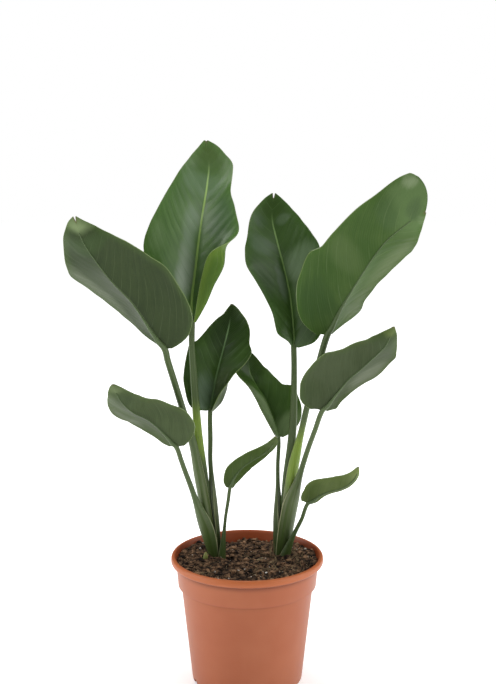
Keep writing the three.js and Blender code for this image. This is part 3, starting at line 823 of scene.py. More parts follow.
@dataclass
class Leaf:
    """One leaf: its sheath, stalk, midrib and blade.

    stem and rib give points up the leaf, stem with half thicknesses. faces says where the upper
    side turns at the root, at the foot of the blade and at its tip. left and right are half
    widths at WIDTHS_AT. folds has each half's lift from the flat in degrees, at foot and tip, and
    waves each half's wave: its height, its number and its phase. roll is where along the blade the
    right margin's roll begins to fade and ends, how far out it starts, and how many degrees it turns.
    clasp is the height where the sheath ends, and half the angle that it wraps at the soil. lobe
    draws the foot of the blade back, frill ruffles its margin and slit splits its tip.
    """

    name: str
    stem: tuple[tuple[float, float, float, float], ...]
    rib: tuple[Point, ...]
    faces: tuple[Point, Point, Point]
    left: tuple[float, ...]
    right: tuple[float, ...]
    folds: tuple[Pair, Pair]
    waves: tuple[Point, Point]
    upper: BladeFace = UPPER
    under: BladeFace = UNDER
    skin: StalkSkin = SKIN
    roll: tuple[float, float, float, float] | None = None
    clasp: Pair | None = None
    lobe: float = 0.1
    arch: float = 32.0
    frill: float = 0.5
    slit: float = 0.0
    inner: "Leaf | None" = None
    seed: float = 0.0

    WIDTHS_AT = (0, 0.05, 0.12, 0.2, 0.3, 0.4, 0.5, 0.6, 0.7, 0.8, 0.88, 0.95, 1)
    GAP = 0.35
    LIP = 0.8
    LIP_SPREAD = math.radians(30)
    LIP_THINS_FROM = 0.4
    LIP_THINNING = 0.9
    SHEATH_FREES = (45.0, 6.0)
    GIRTH_FREES = 10.0
    STALK_LIP = math.radians(125)
    GROOVE = 0.22
    GROOVE_ENDS = 0.08
    ROOT_HEIGHT = 112.0
    BURIED_UP_TO = 130.0
    STALK_ROWS = 90
    RIB_ROWS = 44
    MIDRIB_TIP = 0.5
    MIDRIB_SLIM = 0.45
    MIDRIB_END = 0.9
    VEIN_SWEEP = 0.35
    CREASE_FADES = (0.5, 0.9)
    TIP_CUP = 30.0
    TIP_BULGE = 0.9
    TIP_BULGES_FROM = 0.85
    SLIT_FROM = 0.93
    ROLL_BAND = 0.32
    QUILT = 0.25
    FRILL_HEIGHT = 4.2
    SECTION_SIDES = 14
    THICKNESS = 0.8
    COLUMNS = 20
    ROW_GAP = 2.1

    def __post_init__(self) -> None:
        """Measure the spine."""
        points = [point[:3] for point in self.stem] + list(self.rib)
        self.spine = Spine(points, len(self.stem))
        self.foot = self.spine.foot
        self.blade = self.spine.length - self.foot
        self.heights = [point[2] for point in self.stem]
        self.halves = [point[3] for point in self.stem]
        self.ways = [Vector(way).normalized() for way in self.faces]

    def at(self, a: float) -> Vector:
        """Point on the spine, a beyond the foot of the blade."""
        return self.spine.at(self.foot + a)

    def axes(self, a: float) -> tuple[Vector, Vector, Vector]:
        """Directions at a point of the spine.

        Args:
            a: distance beyond the foot of the blade.

        Returns:
            Along the spine, where the upper side faces, and to its right.
        """
        along = (self.at(a + 3) - self.at(a - 3)).normalized()
        root, foot, tip = self.ways
        if a < 0:
            up = root.lerp(foot, smooth(1 + a / self.foot))
        else:
            up = foot.lerp(tip, min(a / self.blade, 1.0))
        up = (up - along * up.dot(along)).normalized()
        return along, up, along.cross(up)

    def distance_at(self, z: float) -> float:
        """Place on the stem at a height.

        Args:
            z: the height.

        Returns:
            Its distance from the foot of the blade, which is negative.
        """
        low, high = self.ROOT_HEIGHT - self.heights[0] - self.foot, 0.0
        while high - low > 0.01:
            middle = (low + high) / 2
            low, high = (middle, high) if self.at(middle).z < z else (low, middle)
        return low

    def sheath(self, z: float) -> tuple[Girth, Vector, float, float, float, float]:
        """The sheath at a height.

        Args:
            z: the height.

        Returns:
            The circle inside it, the way its keel lies, its half thickness, half the angle that
            it wraps, and the radii of its hollow and of its keel.
        """
        inside = self.inner.girth(z)
        centre = self.at(self.distance_at(z))
        keel = Vector((centre.x - inside.x, centre.y - inside.y))
        half = through(self.heights, self.halves, z)
        top, at_soil = self.clasp
        low = min(max((top - z) / (top - self.heights[0]), 0.0), 1.0)
        wrap = lerp(self.LIP_SPREAD, math.radians(at_soil), low)
        clear = inside.radius + self.GAP
        reach = max(keel.length + half, clear + 2 * self.LIP)
        return inside, keel.normalized(), half, wrap, clear, reach

    def girth(self, z: float) -> Girth:
        """Circle round this leaf and the leaves inside it.

        Args:
            z: the height.

        Returns:
            The circle at that height.
        """
        if self.inner is None:
            centre = self.at(self.distance_at(z))
            return Girth(centre.x, centre.y, through(self.heights, self.halves, z))
        inside, keel, _, _, clear, reach = self.sheath(z)
        radius = (reach + clear + self.LIP) / 2
        free = smooth(z, self.clasp[0] - self.GIRTH_FREES, self.clasp[0] + self.GIRTH_FREES)
        off = (reach - radius) * (1 - free)
        return Girth(inside.x + keel.x * off, inside.y + keel.y * off, lerp(radius, inside.radius, free))

    def sheath_section(self, z: float) -> list[Vector]:
        """Level section of the sheath.

        Args:
            z: the height.

        Returns:
            Its outside from lip to lip, then its inside back.
        """
        inside, keel, half, wrap, clear, reach = self.sheath(z)
        thick = min(reach - clear, 2 * half)
        heading = math.atan2(keel.y, keel.x)

        def point(angle: float, outside: bool) -> Vector:
            """One point.

            Args:
                angle: how far round from the keel.
                outside: whether it lies on the outside.

            Returns:
                The point.
            """
            thinned = self.LIP_THINNING * smooth(abs(angle) / wrap, self.LIP_THINS_FROM, 1)
            near = (1 + math.cos(angle)) / 2 * (1 - thinned)
            radius = clear + (reach - clear - thick) * near
            if outside:
                radius += lerp(self.LIP, max(thick, self.LIP), near)
            turn = heading + angle
            return Vector((inside.x + radius * math.cos(turn), inside.y + radius * math.sin(turn), z))

        count = self.SECTION_SIDES
        angles = [wrap * (2 * i / count - 1) for i in range(count + 1)]
        return [point(a, True) for a in angles] + [point(a, False) for a in reversed(angles)]

    def stalk_section(self, a: float) -> list[Vector]:
        """Section square to the spine.

        Args:
            a: distance beyond the foot of the blade.

        Returns:
            The section of a grooved stalk, which turns into the rib under the blade.
        """
        along, up, _ = self.axes(a)
        s = max(a, 0.0) / self.blade
        stalk = through(self.heights, self.halves, self.at(min(a, 0.0)).z)
        half = lerp(self.MIDRIB_TIP, stalk, max(1 - s / self.MIDRIB_SLIM, 0.0) ** 2)
        sunk = smooth(s, 0, self.GROOVE_ENDS)
        centre = self.at(a) - up * (half * sunk)
        keel, count = -up, self.SECTION_SIDES
        aside = along.cross(keel)

        def point(angle: float, radius: float) -> Vector:
            """One point, at an angle from the keel."""
            return centre + keel * (radius * math.cos(angle)) + aside * (radius * math.sin(angle))

        points = [point(self.STALK_LIP * (2 * i / count - 1), half) for i in range(count + 1)]
        for i in range(count + 1):
            part = (i + 0.5) / (count + 1)
            angle = self.STALK_LIP + 2 * (math.pi - self.STALK_LIP) * part
            hollow = self.GROOVE * (1 - sunk) * math.sin(math.pi * part) ** 2
            points.append(point(angle, half * (1 - hollow)))
        return points

    def section(self, a: float) -> tuple[list[Vector], float]:
        """Section of the sheath, the stalk or the rib.

        Args:
            a: distance beyond the foot of the blade.

        Returns:
            The section, and how much of it is sheath.
        """
        stalk = self.stalk_section(a)
        z = self.at(a).z
        if self.clasp is None or a > 0:
            return stalk, 0.0
        below, above = self.SHEATH_FREES
        free = smooth(z, self.clasp[0] - below, self.clasp[0] + above)
        if free >= 1:
            return stalk, 0.0
        inside, _, _, _, clear, _ = self.sheath(z)
        ring = []
        for low, high in zip(self.sheath_section(z), stalk):
            point = low.lerp(high, free)
            out = Vector((point.x - inside.x, point.y - inside.y))
            if out.length < clear:
                out *= clear / out.length
                point = Vector((inside.x + out.x, inside.y + out.y, point.z))
            ring.append(point)
        return ring, 1 - free

    def axis_piece(self) -> bpy.types.Object:
        """Build the sheath, stalk and rib.

        Returns:
            One closed tube, whose vertices know their place on it.
        """
        soil = self.distance_at(self.BURIED_UP_TO)
        places = [self.distance_at(self.ROOT_HEIGHT)]
        places += [lerp(soil, 0.0, i / self.STALK_ROWS) for i in range(self.STALK_ROWS)]
        places += [self.blade * self.MIDRIB_END * i / self.RIB_ROWS for i in range(self.RIB_ROWS + 1)]
        rings = [self.section(a) for a in places]
        tube = lofted(f"{self.name}_stalk", [ring for ring, _ in rings])
        lookup = {}
        half = self.SECTION_SIDES + 1
        for a, (ring, sheathed) in zip(places, rings):
            for j, point in enumerate(ring):
                around = 2 * j / (half - 1) - 1 if j < half else 1.2 + 0.6 * (j - half) / (half - 1)
                key = tuple(round(value, 2) for value in point)
                lookup[key] = (around, point.z, sheathed, max(a, 0.0) / self.blade)
        unknown = (0.0, 200.0, 0.0, 0.0)
        keys = [tuple(round(c / MM, 2) for c in vertex.co) for vertex in tube.data.vertices]
        for k, name in enumerate(("around", "rise", "sheathed", "part")):
            carry(tube, name, [lookup.get(key, unknown)[k] for key in keys])
        return tube

    def vein(self, s: float, side: Side) -> list[tuple[Vector, float, float]]:
        """Points of one vein, from the midrib to the margin.

        Args:
            s: the part of the blade's length where the vein leaves the midrib.
            side: which half of the blade.

        Returns:
            For each column the point, its distance along the midrib and its distance from it.
        """
        right = side is Side.RIGHT
        half = 1 if right else 0
        width = through(self.WIDTHS_AT, self.right if right else self.left, s)
        sweep = self.VEIN_SWEEP * smooth(s, 0, 0.35) - self.lobe * (1 - smooth(s, 0, 0.22))
        fold = math.radians(lerp(*self.folds[half], s))
        wave_height, waves, phase = self.waves[half]
        ends = smooth(s, 0, 0.08) * smooth(1 - s, 0, 0.1)
        wave = math.sin(2 * math.pi * (waves * s + phase)) * ends
        cupped = smooth(s, *self.CREASE_FADES)
        bulge = self.TIP_BULGE * smooth(s, self.TIP_BULGES_FROM, 1)
        across = above = last = 0.0
        points = []
        for j in range(1, self.COLUMNS + 1):
            v = 1 - (1 - j / self.COLUMNS) ** 1.25
            step = (v - last) / 3
            for i in range(3):
                out = last + step * (i + 0.5)
                creased = fold + math.radians(self.arch) * (0.5 - out)
                angle = lerp(creased, math.radians(self.TIP_CUP) * out, cupped)
                if right and self.roll:
                    full, gone, start, degrees = self.roll
                    turn = smooth(out, start, start + self.ROLL_BAND)
                    angle += math.radians(degrees) * turn * (1 - smooth(s, full, gone))
                across += width * step * math.cos(angle)
                above += width * step * math.sin(angle)
            last = v
            a = s * self.blade + width * (sweep * v ** 1.5 + bulge * v * (1 - v))
            flat = width * v
            line = a - VEIN_LEAN * flat - VEIN_CURVE * flat * flat
            quilt = self.QUILT * abs(math.sin(math.pi * line / self.upper.vein_gap)) ** 0.7
            quilt *= smooth(v, 0, 0.12) * (1 - 0.7 * smooth(v, 0.85, 1)) * smooth(s, 0, 0.05)
            wander = noise.noise(Vector((a * 0.045, side.value * 7 + self.seed, flat * 0.02)))
            frill = self.frill * v ** 3 * self.FRILL_HEIGHT * wander * smooth(1 - s, 0, 0.12)
            lift = above + wave_height * v * v * wave + quilt + frill
            back = self.slit * smooth(s, self.SLIT_FROM, 1) * (1 - smooth(v, 0.0, 0.75))
            _, up, aside = self.axes(a)
            point = self.at(a - back) + aside * (side.value * across) + up * lift
            points.append((point, a, flat))
        return points

    def blade_piece(self) -> bpy.types.Object:
        """Build the blade.

        Returns:
            A waved sheet with its thickness, whose vertices know their place on it.
        """
        rows = int(self.blade / self.ROW_GAP)
        columns = 2 * self.COLUMNS
        sheet = grid_mesh(f"{self.name}_blade", columns, rows)
        points, along, across, edge, part = [], [], [], [], []
        for i in range(rows + 1):
            s = i / rows
            left, right = self.vein(s, Side.LEFT), self.vein(s, Side.RIGHT)
            back = self.slit * smooth(s, self.SLIT_FROM, 1)
            middle = (self.at(s * self.blade - back), s * self.blade, 0.0)
            row = [*reversed(left), middle, *right]
            for j, (point, a, flat) in enumerate(row):
                side, half = (-1, left) if j < self.COLUMNS else (1, right)
                margin = half[-1][2]
                points.append(point)
                along.append(a)
                across.append(side * flat)
                edge.append(min(margin - flat, (1 - s) * self.blade + 0.6 * flat))
                part.append(s)
        place_vertices(sheet, points)
        for name, values in (("along", along), ("across", across), ("edge", edge), ("part", part)):
            carry(sheet, name, values)
        for look, face in ((self.upper, "upper_face"), (self.under, "underside")):
            sheet.data.materials.append(look.material(f"{self.name}_{face}"))
        apply(sheet, "SOLIDIFY", thickness=self.THICKNESS * MM, offset=0.0, material_offset=1)
        return sheet

    def build(self) -> bpy.types.Object:
        """Build and dress the whole leaf.

        Returns:
            The leaf, as one object.
        """
        blade, stalk = self.blade_piece(), self.axis_piece()
        stalk.data.materials.append(self.skin.material(f"{self.name}_skin"))
        leaf = join([blade, stalk], f"{self.name}_grown")
        soften(leaf, 60)
        hand_over(leaf, "leaf", self.name)
        return leaf


LEFT_PLANT = (
    Leaf(
        "left_tall_leaf",
        stem=((-35, 14, 138, 2.8), (-44, 14.5, 204, 3.8), (-50, 14, 249, 4.4), (-53.5, 13.5, 274, 4.7),
              (-57, 13, 320, 4.2), (-59, 12.5, 354, 3.8), (-60.5, 12, 382, 3.3)),
        rib=((-60, 12, 409), (-60, 12, 432), (-55, 13, 474), (-49, 16, 519), (-43, 23, 556),
             (-41, 31, 579), (-44, 42, 601)),
        faces=((0, -1, 0.2), (0.05, -0.95, 0.3), (0, -0.9, 0.45)),
        left=(8, 23, 40, 52, 61, 57, 50, 43, 36, 28, 20, 10, 3),
        right=(8, 19, 33, 44, 59, 50, 43, 35, 27, 27, 18, 10, 2),
        folds=((18, 12), (25, 15)), waves=((1, 2.5, 0), (1, 2.5, 0.3)), roll=(0.25, 0.5, 0.48, 165),
        seed=1.0,
        upper=replace(
            UPPER, deep=(0.045, 0.105, 0.017), light=(0.074, 0.155, 0.030), tip=(0.040, 0.085, 0.006),
            rim=(0.050, 0.130, 0.010), coat=0.35, rib=(0.31, 0.46, 0.13), rib_least=0.9,
            patches=(
                LightPatch(0.28, -12, 0.24, 14, 0.9, (0.22, 0.29, 0.19)),
                LightPatch(0.50, -12, 0.16, 12, 0.6, (0.15, 0.22, 0.13)),
                LightPatch(0.74, -4, 0.08, 30, 0.5, (0.12, 0.19, 0.10)),
                LightPatch(0.38, -50, 0.10, 14, 0.6, (0.12, 0.20, 0.07)),
                LightPatch(0.56, 26, 0.18, 22, 0.8, (0.036, 0.085, 0.022)),
            ),
        ),
        under=replace(
            UNDER, deep=(0.050, 0.110, 0.006), light=(0.085, 0.155, 0.014), tip=(0.060, 0.120, 0.008),
            rim=(0.110, 0.180, 0.020),
        ),
        skin=replace(SKIN, flush=(282.0, 45.0, 0.8)),
    ),
    Leaf(
        "left_broad_leaf",
        stem=((-38, 11, 139, 1.2), (-45.8, 9.5, 182, 2.8), (-53.2, 8, 230, 3.9), (-58.5, 7, 265, 4.4),
              (-63, 3, 286, 4.3), (-70, -4, 313, 3.7), (-79, -13, 348, 3.6), (-85.5, -20, 373, 3.5)),
        rib=((-88, -25, 386), (-103, -33, 411), (-121, -42, 440), (-140, -51, 463), (-155, -59, 485),
             (-169, -66, 510), (-176, -74, 535)),
        faces=((0.72, 0.69, 0), (0.45, 0.8, 0.45), (0.25, 0.85, 0.45)),
        left=(8, 34, 50, 55, 57, 55, 50, 44, 37, 29, 20, 9, 2),
        right=(12, 32, 42, 47, 52, 53, 56, 48, 39, 28, 18, 10, 2),
        folds=((20, 16), (30, 0)), waves=((1, 2, 0.2), (1.2, 3, 0)), clasp=(279, 100), slit=5.0, seed=2.0,
        under=replace(
            UNDER, deep=(0.017, 0.032, 0.006), light=(0.028, 0.046, 0.012), tip=(0.150, 0.200, 0.090),
            tip_from=0.87, rim=(0.042, 0.078, 0.014), rib=(0.10, 0.14, 0.06), rib_strength=0.8,
            rib_end=0.8,
            patches=(
                LightPatch(0.40, 48, 0.40, 18, 0.7, (0.115, 0.140, 0.085)),
                LightPatch(0.35, 8, 0.34, 18, 0.9, (0.022, 0.036, 0.010)),
                LightPatch(0.80, -10, 0.08, 40, 0.6, (0.030, 0.060, 0.012)),
            ),
        ),
    ),
    Leaf(
        "left_inner_leaf",
        stem=((-30.5, 17, 137, 1.1), (-34, 17.5, 180, 1.8), (-38.7, 17.5, 224, 2.2),
              (-41, 18.5, 247, 2.6), (-41, 22, 272, 2.7)),
        rib=((-41, 28, 305), (-37, 32, 329), (-32, 35, 351), (-26, 40, 373), (-20, 47, 397),
             (-17, 55, 419)),
        faces=((-0.8, -0.6, 0), (0.1, -0.95, 0.4), (-0.1, -0.9, 0.5)),
        left=(5, 24, 33, 39, 40, 40, 32, 26, 21, 15, 8, 4, 1),
        right=(8, 18, 30, 33, 28, 32, 35, 29, 26, 20, 13, 7, 1),
        folds=((25, 15), (25, 15)), waves=((1, 2, 0.4), (1, 2.5, 0)), roll=(0.05, 0.5, 0.36, 120),
        clasp=(242, 90), lobe=0.25, seed=3.0,
        upper=replace(
            UPPER, deep=(0.026, 0.057, 0.009), light=(0.039, 0.080, 0.015), tip=(0.010, 0.022, 0.001),
            rim=(0.022, 0.050, 0.005), coat=0.0, specular=0.15, rib=(0.13, 0.21, 0.09),
            patches=(
                LightPatch(0.14, -12, 0.22, 18, 0.9, (0.100, 0.150, 0.090)),
                LightPatch(0.26, 12, 0.16, 18, 0.8, (0.060, 0.090, 0.030)),
                LightPatch(0.72, 0, 0.30, 40, 0.85, (0.012, 0.028, 0.004)),
            ),
        ),
    ),
    Leaf(
        "left_low_leaf",
        stem=((-41.5, 10, 140, 1.2), (-47.5, 5, 170, 2.7), (-54, 0, 197, 3.2), (-60.8, -4, 222, 3.1),
              (-68.8, -9.5, 247, 2.8), (-72.6, -13, 260, 2.7)),
        rib=((-77, -18, 275), (-91, -25, 294), (-107, -32, 310), (-122, -39, 320), (-134, -46, 334),
             (-142, -53, 354)),
        faces=((0.85, 0.53, 0), (0.45, 0.8, 0.45), (0.3, 0.8, 0.5)),
        left=(9, 22, 35, 39, 35, 31, 26, 24, 23, 18, 12, 6, 1),
        right=(13, 17, 22, 34, 39, 35, 37, 33, 25, 16, 11, 6, 1),
        folds=((20, 16), (14, 14)), waves=((1, 2, 0.1), (1, 2.5, 0.6)), clasp=(215, 85), seed=4.0,
        under=replace(
            UNDER, deep=(0.036, 0.056, 0.017), light=(0.056, 0.082, 0.030), tip=(0.110, 0.145, 0.065),
            tip_from=0.87, rim=(0.055, 0.088, 0.020),
            patches=(
                LightPatch(0.45, 34, 0.30, 12, 0.6, (0.140, 0.165, 0.110)),
                LightPatch(0.40, 6, 0.50, 12, 0.7, (0.028, 0.042, 0.014)),
                LightPatch(0.78, -8, 0.10, 16, 0.8, (0.028, 0.048, 0.012)),
            ),
        ),
    ),
    Leaf(
        "left_curled_leaf",
        stem=((-26.5, 7.5, 141, 1.5), (-26, 7, 160, 1.8), (-24.5, 5, 184, 1.8), (-21, 2.5, 208, 2.0)),
        rib=((-19, 0, 223), (-15, -2, 235), (-5, -5, 248), (6, -8, 257), (17, -11, 265), (26, -13, 274),
             (31, -15, 286)),
        faces=((-0.8, 0.6, 0), (-0.55, 0.7, 0.5), (-0.4, 0.7, 0.6)),
        left=(4, 6, 10, 12, 12, 10, 10, 10, 9, 9, 7, 4, 1),
        right=(4, 8, 11, 14, 13, 12, 12, 12, 11, 9, 6, 3, 1),
        folds=((-10, 0), (40, 30)), waves=((0.6, 2, 0), (0.6, 2, 0.5)), clasp=(174, 38), seed=5.0,
        frill=0.2,
        under=replace(
            UNDER, deep=(0.030, 0.055, 0.008), light=(0.048, 0.082, 0.014), tip=(0.070, 0.092, 0.034),
            rim=(0.045, 0.080, 0.014),
        ),
    ),
)

RIGHT_PLANT = (
    Leaf(
        "right_tall_leaf",
        stem=((38, 22, 135, 2.8), (40.5, 22, 178, 3.4), (43.5, 21.5, 225, 4.1), (48.2, 21, 260, 4.6),
              (50.7, 20.5, 289, 4.4), (51.6, 19.5, 330, 3.5), (51.6, 18.5, 358, 3.2)),
        rib=((51, 18, 379), (50, 18, 400), (46, 19, 437), (39, 22, 469), (32, 26, 496), (27, 32, 519),
             (29, 42, 544)),
        faces=((0, -1, 0.2), (0.05, -0.95, 0.3), (0, -0.9, 0.45)),
        left=(3, 10, 27, 29, 36, 42, 47, 41, 32, 24, 16, 9, 2),
        right=(6, 25, 36, 42, 45, 45, 45, 40, 33, 28, 20, 10, 2),
        folds=((48, 10), (25, 15)), waves=((1, 2.5, 0.2), (1, 2, 0.5)), slit=5.0, seed=6.0, frill=0.8,
        upper=replace(
            UPPER, tip=(0.020, 0.052, 0.001), coat=0.0, specular=0.25,
            patches=(
                LightPatch(0.10, 20, 0.14, 32, 0.9, (0.022, 0.054, 0.006)),
                LightPatch(0.42, -9, 0.16, 8, 0.7, (0.11, 0.15, 0.10)),
                LightPatch(0.50, 24, 0.13, 28, 0.9, (0.125, 0.19, 0.095)),
                LightPatch(0.45, -34, 0.18, 16, 0.7, (0.042, 0.068, 0.030)),
                LightPatch(0.66, -20, 0.08, 20, 0.6, (0.095, 0.14, 0.085)),
                LightPatch(0.81, -16, 0.05, 14, 0.7, (0.035, 0.07, 0.025)),
                LightPatch(0.81, 12, 0.05, 10, 0.6, (0.09, 0.14, 0.07)),
            ),
        ),
    ),
    Leaf(
        "right_broad_leaf",
        stem=((41.5, 19, 136, 1.2), (46, 17.5, 180, 2.7), (50.5, 15.5, 227, 3.5), (56, 12.5, 263, 3.4),
              (61.5, 9, 293, 3.5), (67.5, 5, 322, 3.4), (76, -3, 358, 3.6)),
        rib=((86, -14, 399), (97, -22, 426), (111, -30, 452), (131, -40, 487), (145, -47, 507),
             (158, -54, 520), (170, -57, 530), (183, -60, 538)),
        faces=((-0.75, 0.66, 0), (-0.45, 0.85, 0.4), (-0.1, 0.9, 0.3)),
        left=(11, 28, 47, 38, 35, 38, 40, 40, 34, 27, 19, 9, 1),
        right=(12, 29, 46, 59, 62, 53, 51, 49, 47, 45, 46, 45, 37),
        folds=((28, 4), (20, 10)), waves=((0.8, 2, 0.3), (0.8, 2, 0.4)), lobe=0.15, clasp=(285, 105),
        seed=7.0, frill=0.4,
        under=replace(
            UNDER, deep=(0.028, 0.068, 0.006), light=(0.048, 0.092, 0.016), tip=(0.080, 0.135, 0.044),
            rim=(0.034, 0.084, 0.006), vein=(0.095, 0.145, 0.050), vein_strength=0.5, vein_gap=20.0,
            patches=(
                LightPatch(0.50, -46, 0.90, 34, 0.7, (0.125, 0.165, 0.075)),
                LightPatch(0.16, 28, 0.13, 34, 0.8, (0.020, 0.054, 0.005)),
                LightPatch(0.47, 26, 0.10, 30, 0.4, (0.085, 0.130, 0.040)),
                LightPatch(0.80, 22, 0.08, 22, 0.6, (0.036, 0.075, 0.018)),
                LightPatch(0.93, 8, 0.05, 16, 0.7, (0.050, 0.085, 0.032)),
                LightPatch(0.95, -30, 0.06, 34, 0.7, (0.220, 0.270, 0.160)),
                LightPatch(0.94, 40, 0.06, 12, 0.7, (0.200, 0.255, 0.140)),
            ),
        ),
        skin=replace(SKIN, flush=(252.0, 50.0, 0.9)),
    ),
    Leaf(
        "right_inner_leaf",
        stem=((32, 25, 134, 1.6), (32.4, 26, 177, 2.2), (34.2, 26.5, 212, 2.4), (34.3, 28.5, 241, 2.2)),
        rib=((35, 34, 272), (29.5, 40, 290), (24.5, 43, 303), (19.5, 46, 314), (11, 49, 326),
             (3, 54, 341), (2, 61, 364)),
        faces=((0.8, -0.6, 0), (0.3, -0.85, 0.4), (0.4, -0.8, 0.5)),
        left=(4, 13, 20, 23, 27, 25, 21, 19, 24, 18, 12, 6, 1),
        right=(5, 16, 31, 36, 35, 24, 23, 22, 20, 15, 10, 5, 1),
        folds=((50, 32), (25, 20)), waves=((0.8, 2, 0), (0.8, 2, 0.5)), clasp=(220, 90), lobe=0.2,
        seed=8.0,
        upper=replace(
            UPPER, deep=(0.026, 0.060, 0.008), light=(0.041, 0.085, 0.014), tip=(0.017, 0.042, 0.001),
            rim=(0.030, 0.062, 0.004), coat=0.0, specular=0.2, rib_strength=0.3,
            patches=(
                LightPatch(0.25, -18, 0.38, 20, 1.0, (0.125, 0.175, 0.080)),
                LightPatch(0.52, -22, 0.12, 12, 0.8, (0.170, 0.210, 0.125)),
                LightPatch(0.07, 16, 0.16, 28, 0.9, (0.125, 0.185, 0.075)),
                LightPatch(0.85, 0, 0.28, 40, 0.9, (0.014, 0.036, 0.001)),
            ),
        ),
    ),
    Leaf(
        "right_side_leaf",
        stem=((44.5, 17.5, 137, 1.2), (49, 13.5, 181, 2.5), (53.7, 9.5, 212, 3.0), (59.6, 4, 241, 3.1),
              (66.3, -5, 268, 2.9), (73.6, -15, 293, 2.8)),
        rib=((81, -25, 318), (89, -29, 330), (99, -34, 344), (109, -38, 357), (120, -43, 368),
             (132, -48, 381), (144, -54, 395), (150, -58, 408), (153, -61, 418)),
        faces=((-0.8, 0.6, 0), (-0.5, 0.8, 0.4), (-0.4, 0.8, 0.6)),
        left=(8, 20, 17, 20, 27, 33, 34, 34, 26, 17, 11, 5, 1),
        right=(13, 30, 40, 45, 44, 37, 30, 28, 25, 20, 12, 6, 1),
        folds=((5, 5), (26, 22)), waves=((0.8, 2, 0.3), (0.8, 2.5, 0)), lobe=0.15, clasp=(242, 95),
        seed=9.0,
        under=replace(
            UNDER, deep=(0.027, 0.043, 0.011), light=(0.046, 0.065, 0.025), tip=(0.090, 0.120, 0.036),
            tip_from=0.87, rim=(0.042, 0.075, 0.012),
            patches=(
                LightPatch(0.38, -24, 0.26, 18, 0.8, (0.120, 0.140, 0.090)),
                LightPatch(0.80, 0, 0.10, 30, 0.7, (0.026, 0.045, 0.010)),
                LightPatch(0.10, 30, 0.12, 24, 0.5, (0.030, 0.050, 0.012)),
            ),
        ),
    ),
    Leaf(
        "right_small_leaf",
        stem=((44.5, 10.5, 140, 1.6), (48.8, 8.5, 156, 2.0), (54.6, 5.5, 172, 2.3), (60.6, 2, 186, 2.2)),
        rib=((67, -4, 206), (74, -7, 212), (81, -10, 218), (91, -13, 223), (102, -16, 227),
             (111, -19, 233), (118, -21, 242), (121, -24, 254)),
        faces=((-0.43, 0.9, 0), (-0.4, 0.8, 0.5), (-0.3, 0.8, 0.6)),
        left=(7, 10, 9, 8, 7, 7, 7, 6, 5, 5, 4, 2, 1),
        right=(8, 13, 17, 20, 18, 17, 17, 16, 14, 12, 8, 4, 1),
        folds=((8, 10), (35, 25)), waves=((0.6, 2, 0.4), (0.6, 2, 0)), clasp=(169, 48), seed=10.0,
        frill=0.25,
        under=replace(
            UNDER, deep=(0.058, 0.088, 0.018), light=(0.088, 0.120, 0.034), tip=(0.150, 0.185, 0.060),
            rim=(0.080, 0.120, 0.024),
            patches=(
                LightPatch(0.12, 10, 0.22, 22, 0.8, (0.042, 0.068, 0.010)),
            ),
        ),
    ),
)


@dataclass
class Plant:
    """One plant: leaves from the youngest, innermost one outwards."""

    leaves: Sequence[Leaf]

    def build(self) -> list[bpy.types.Object]:
        """Nest each leaf in the next one's sheath and build them all.

        Returns:
            The leaves.
        """
        for inner, leaf in zip(self.leaves, self.leaves[1:]):
            leaf.inner = inner
        return [leaf.build() for leaf in self.leaves]


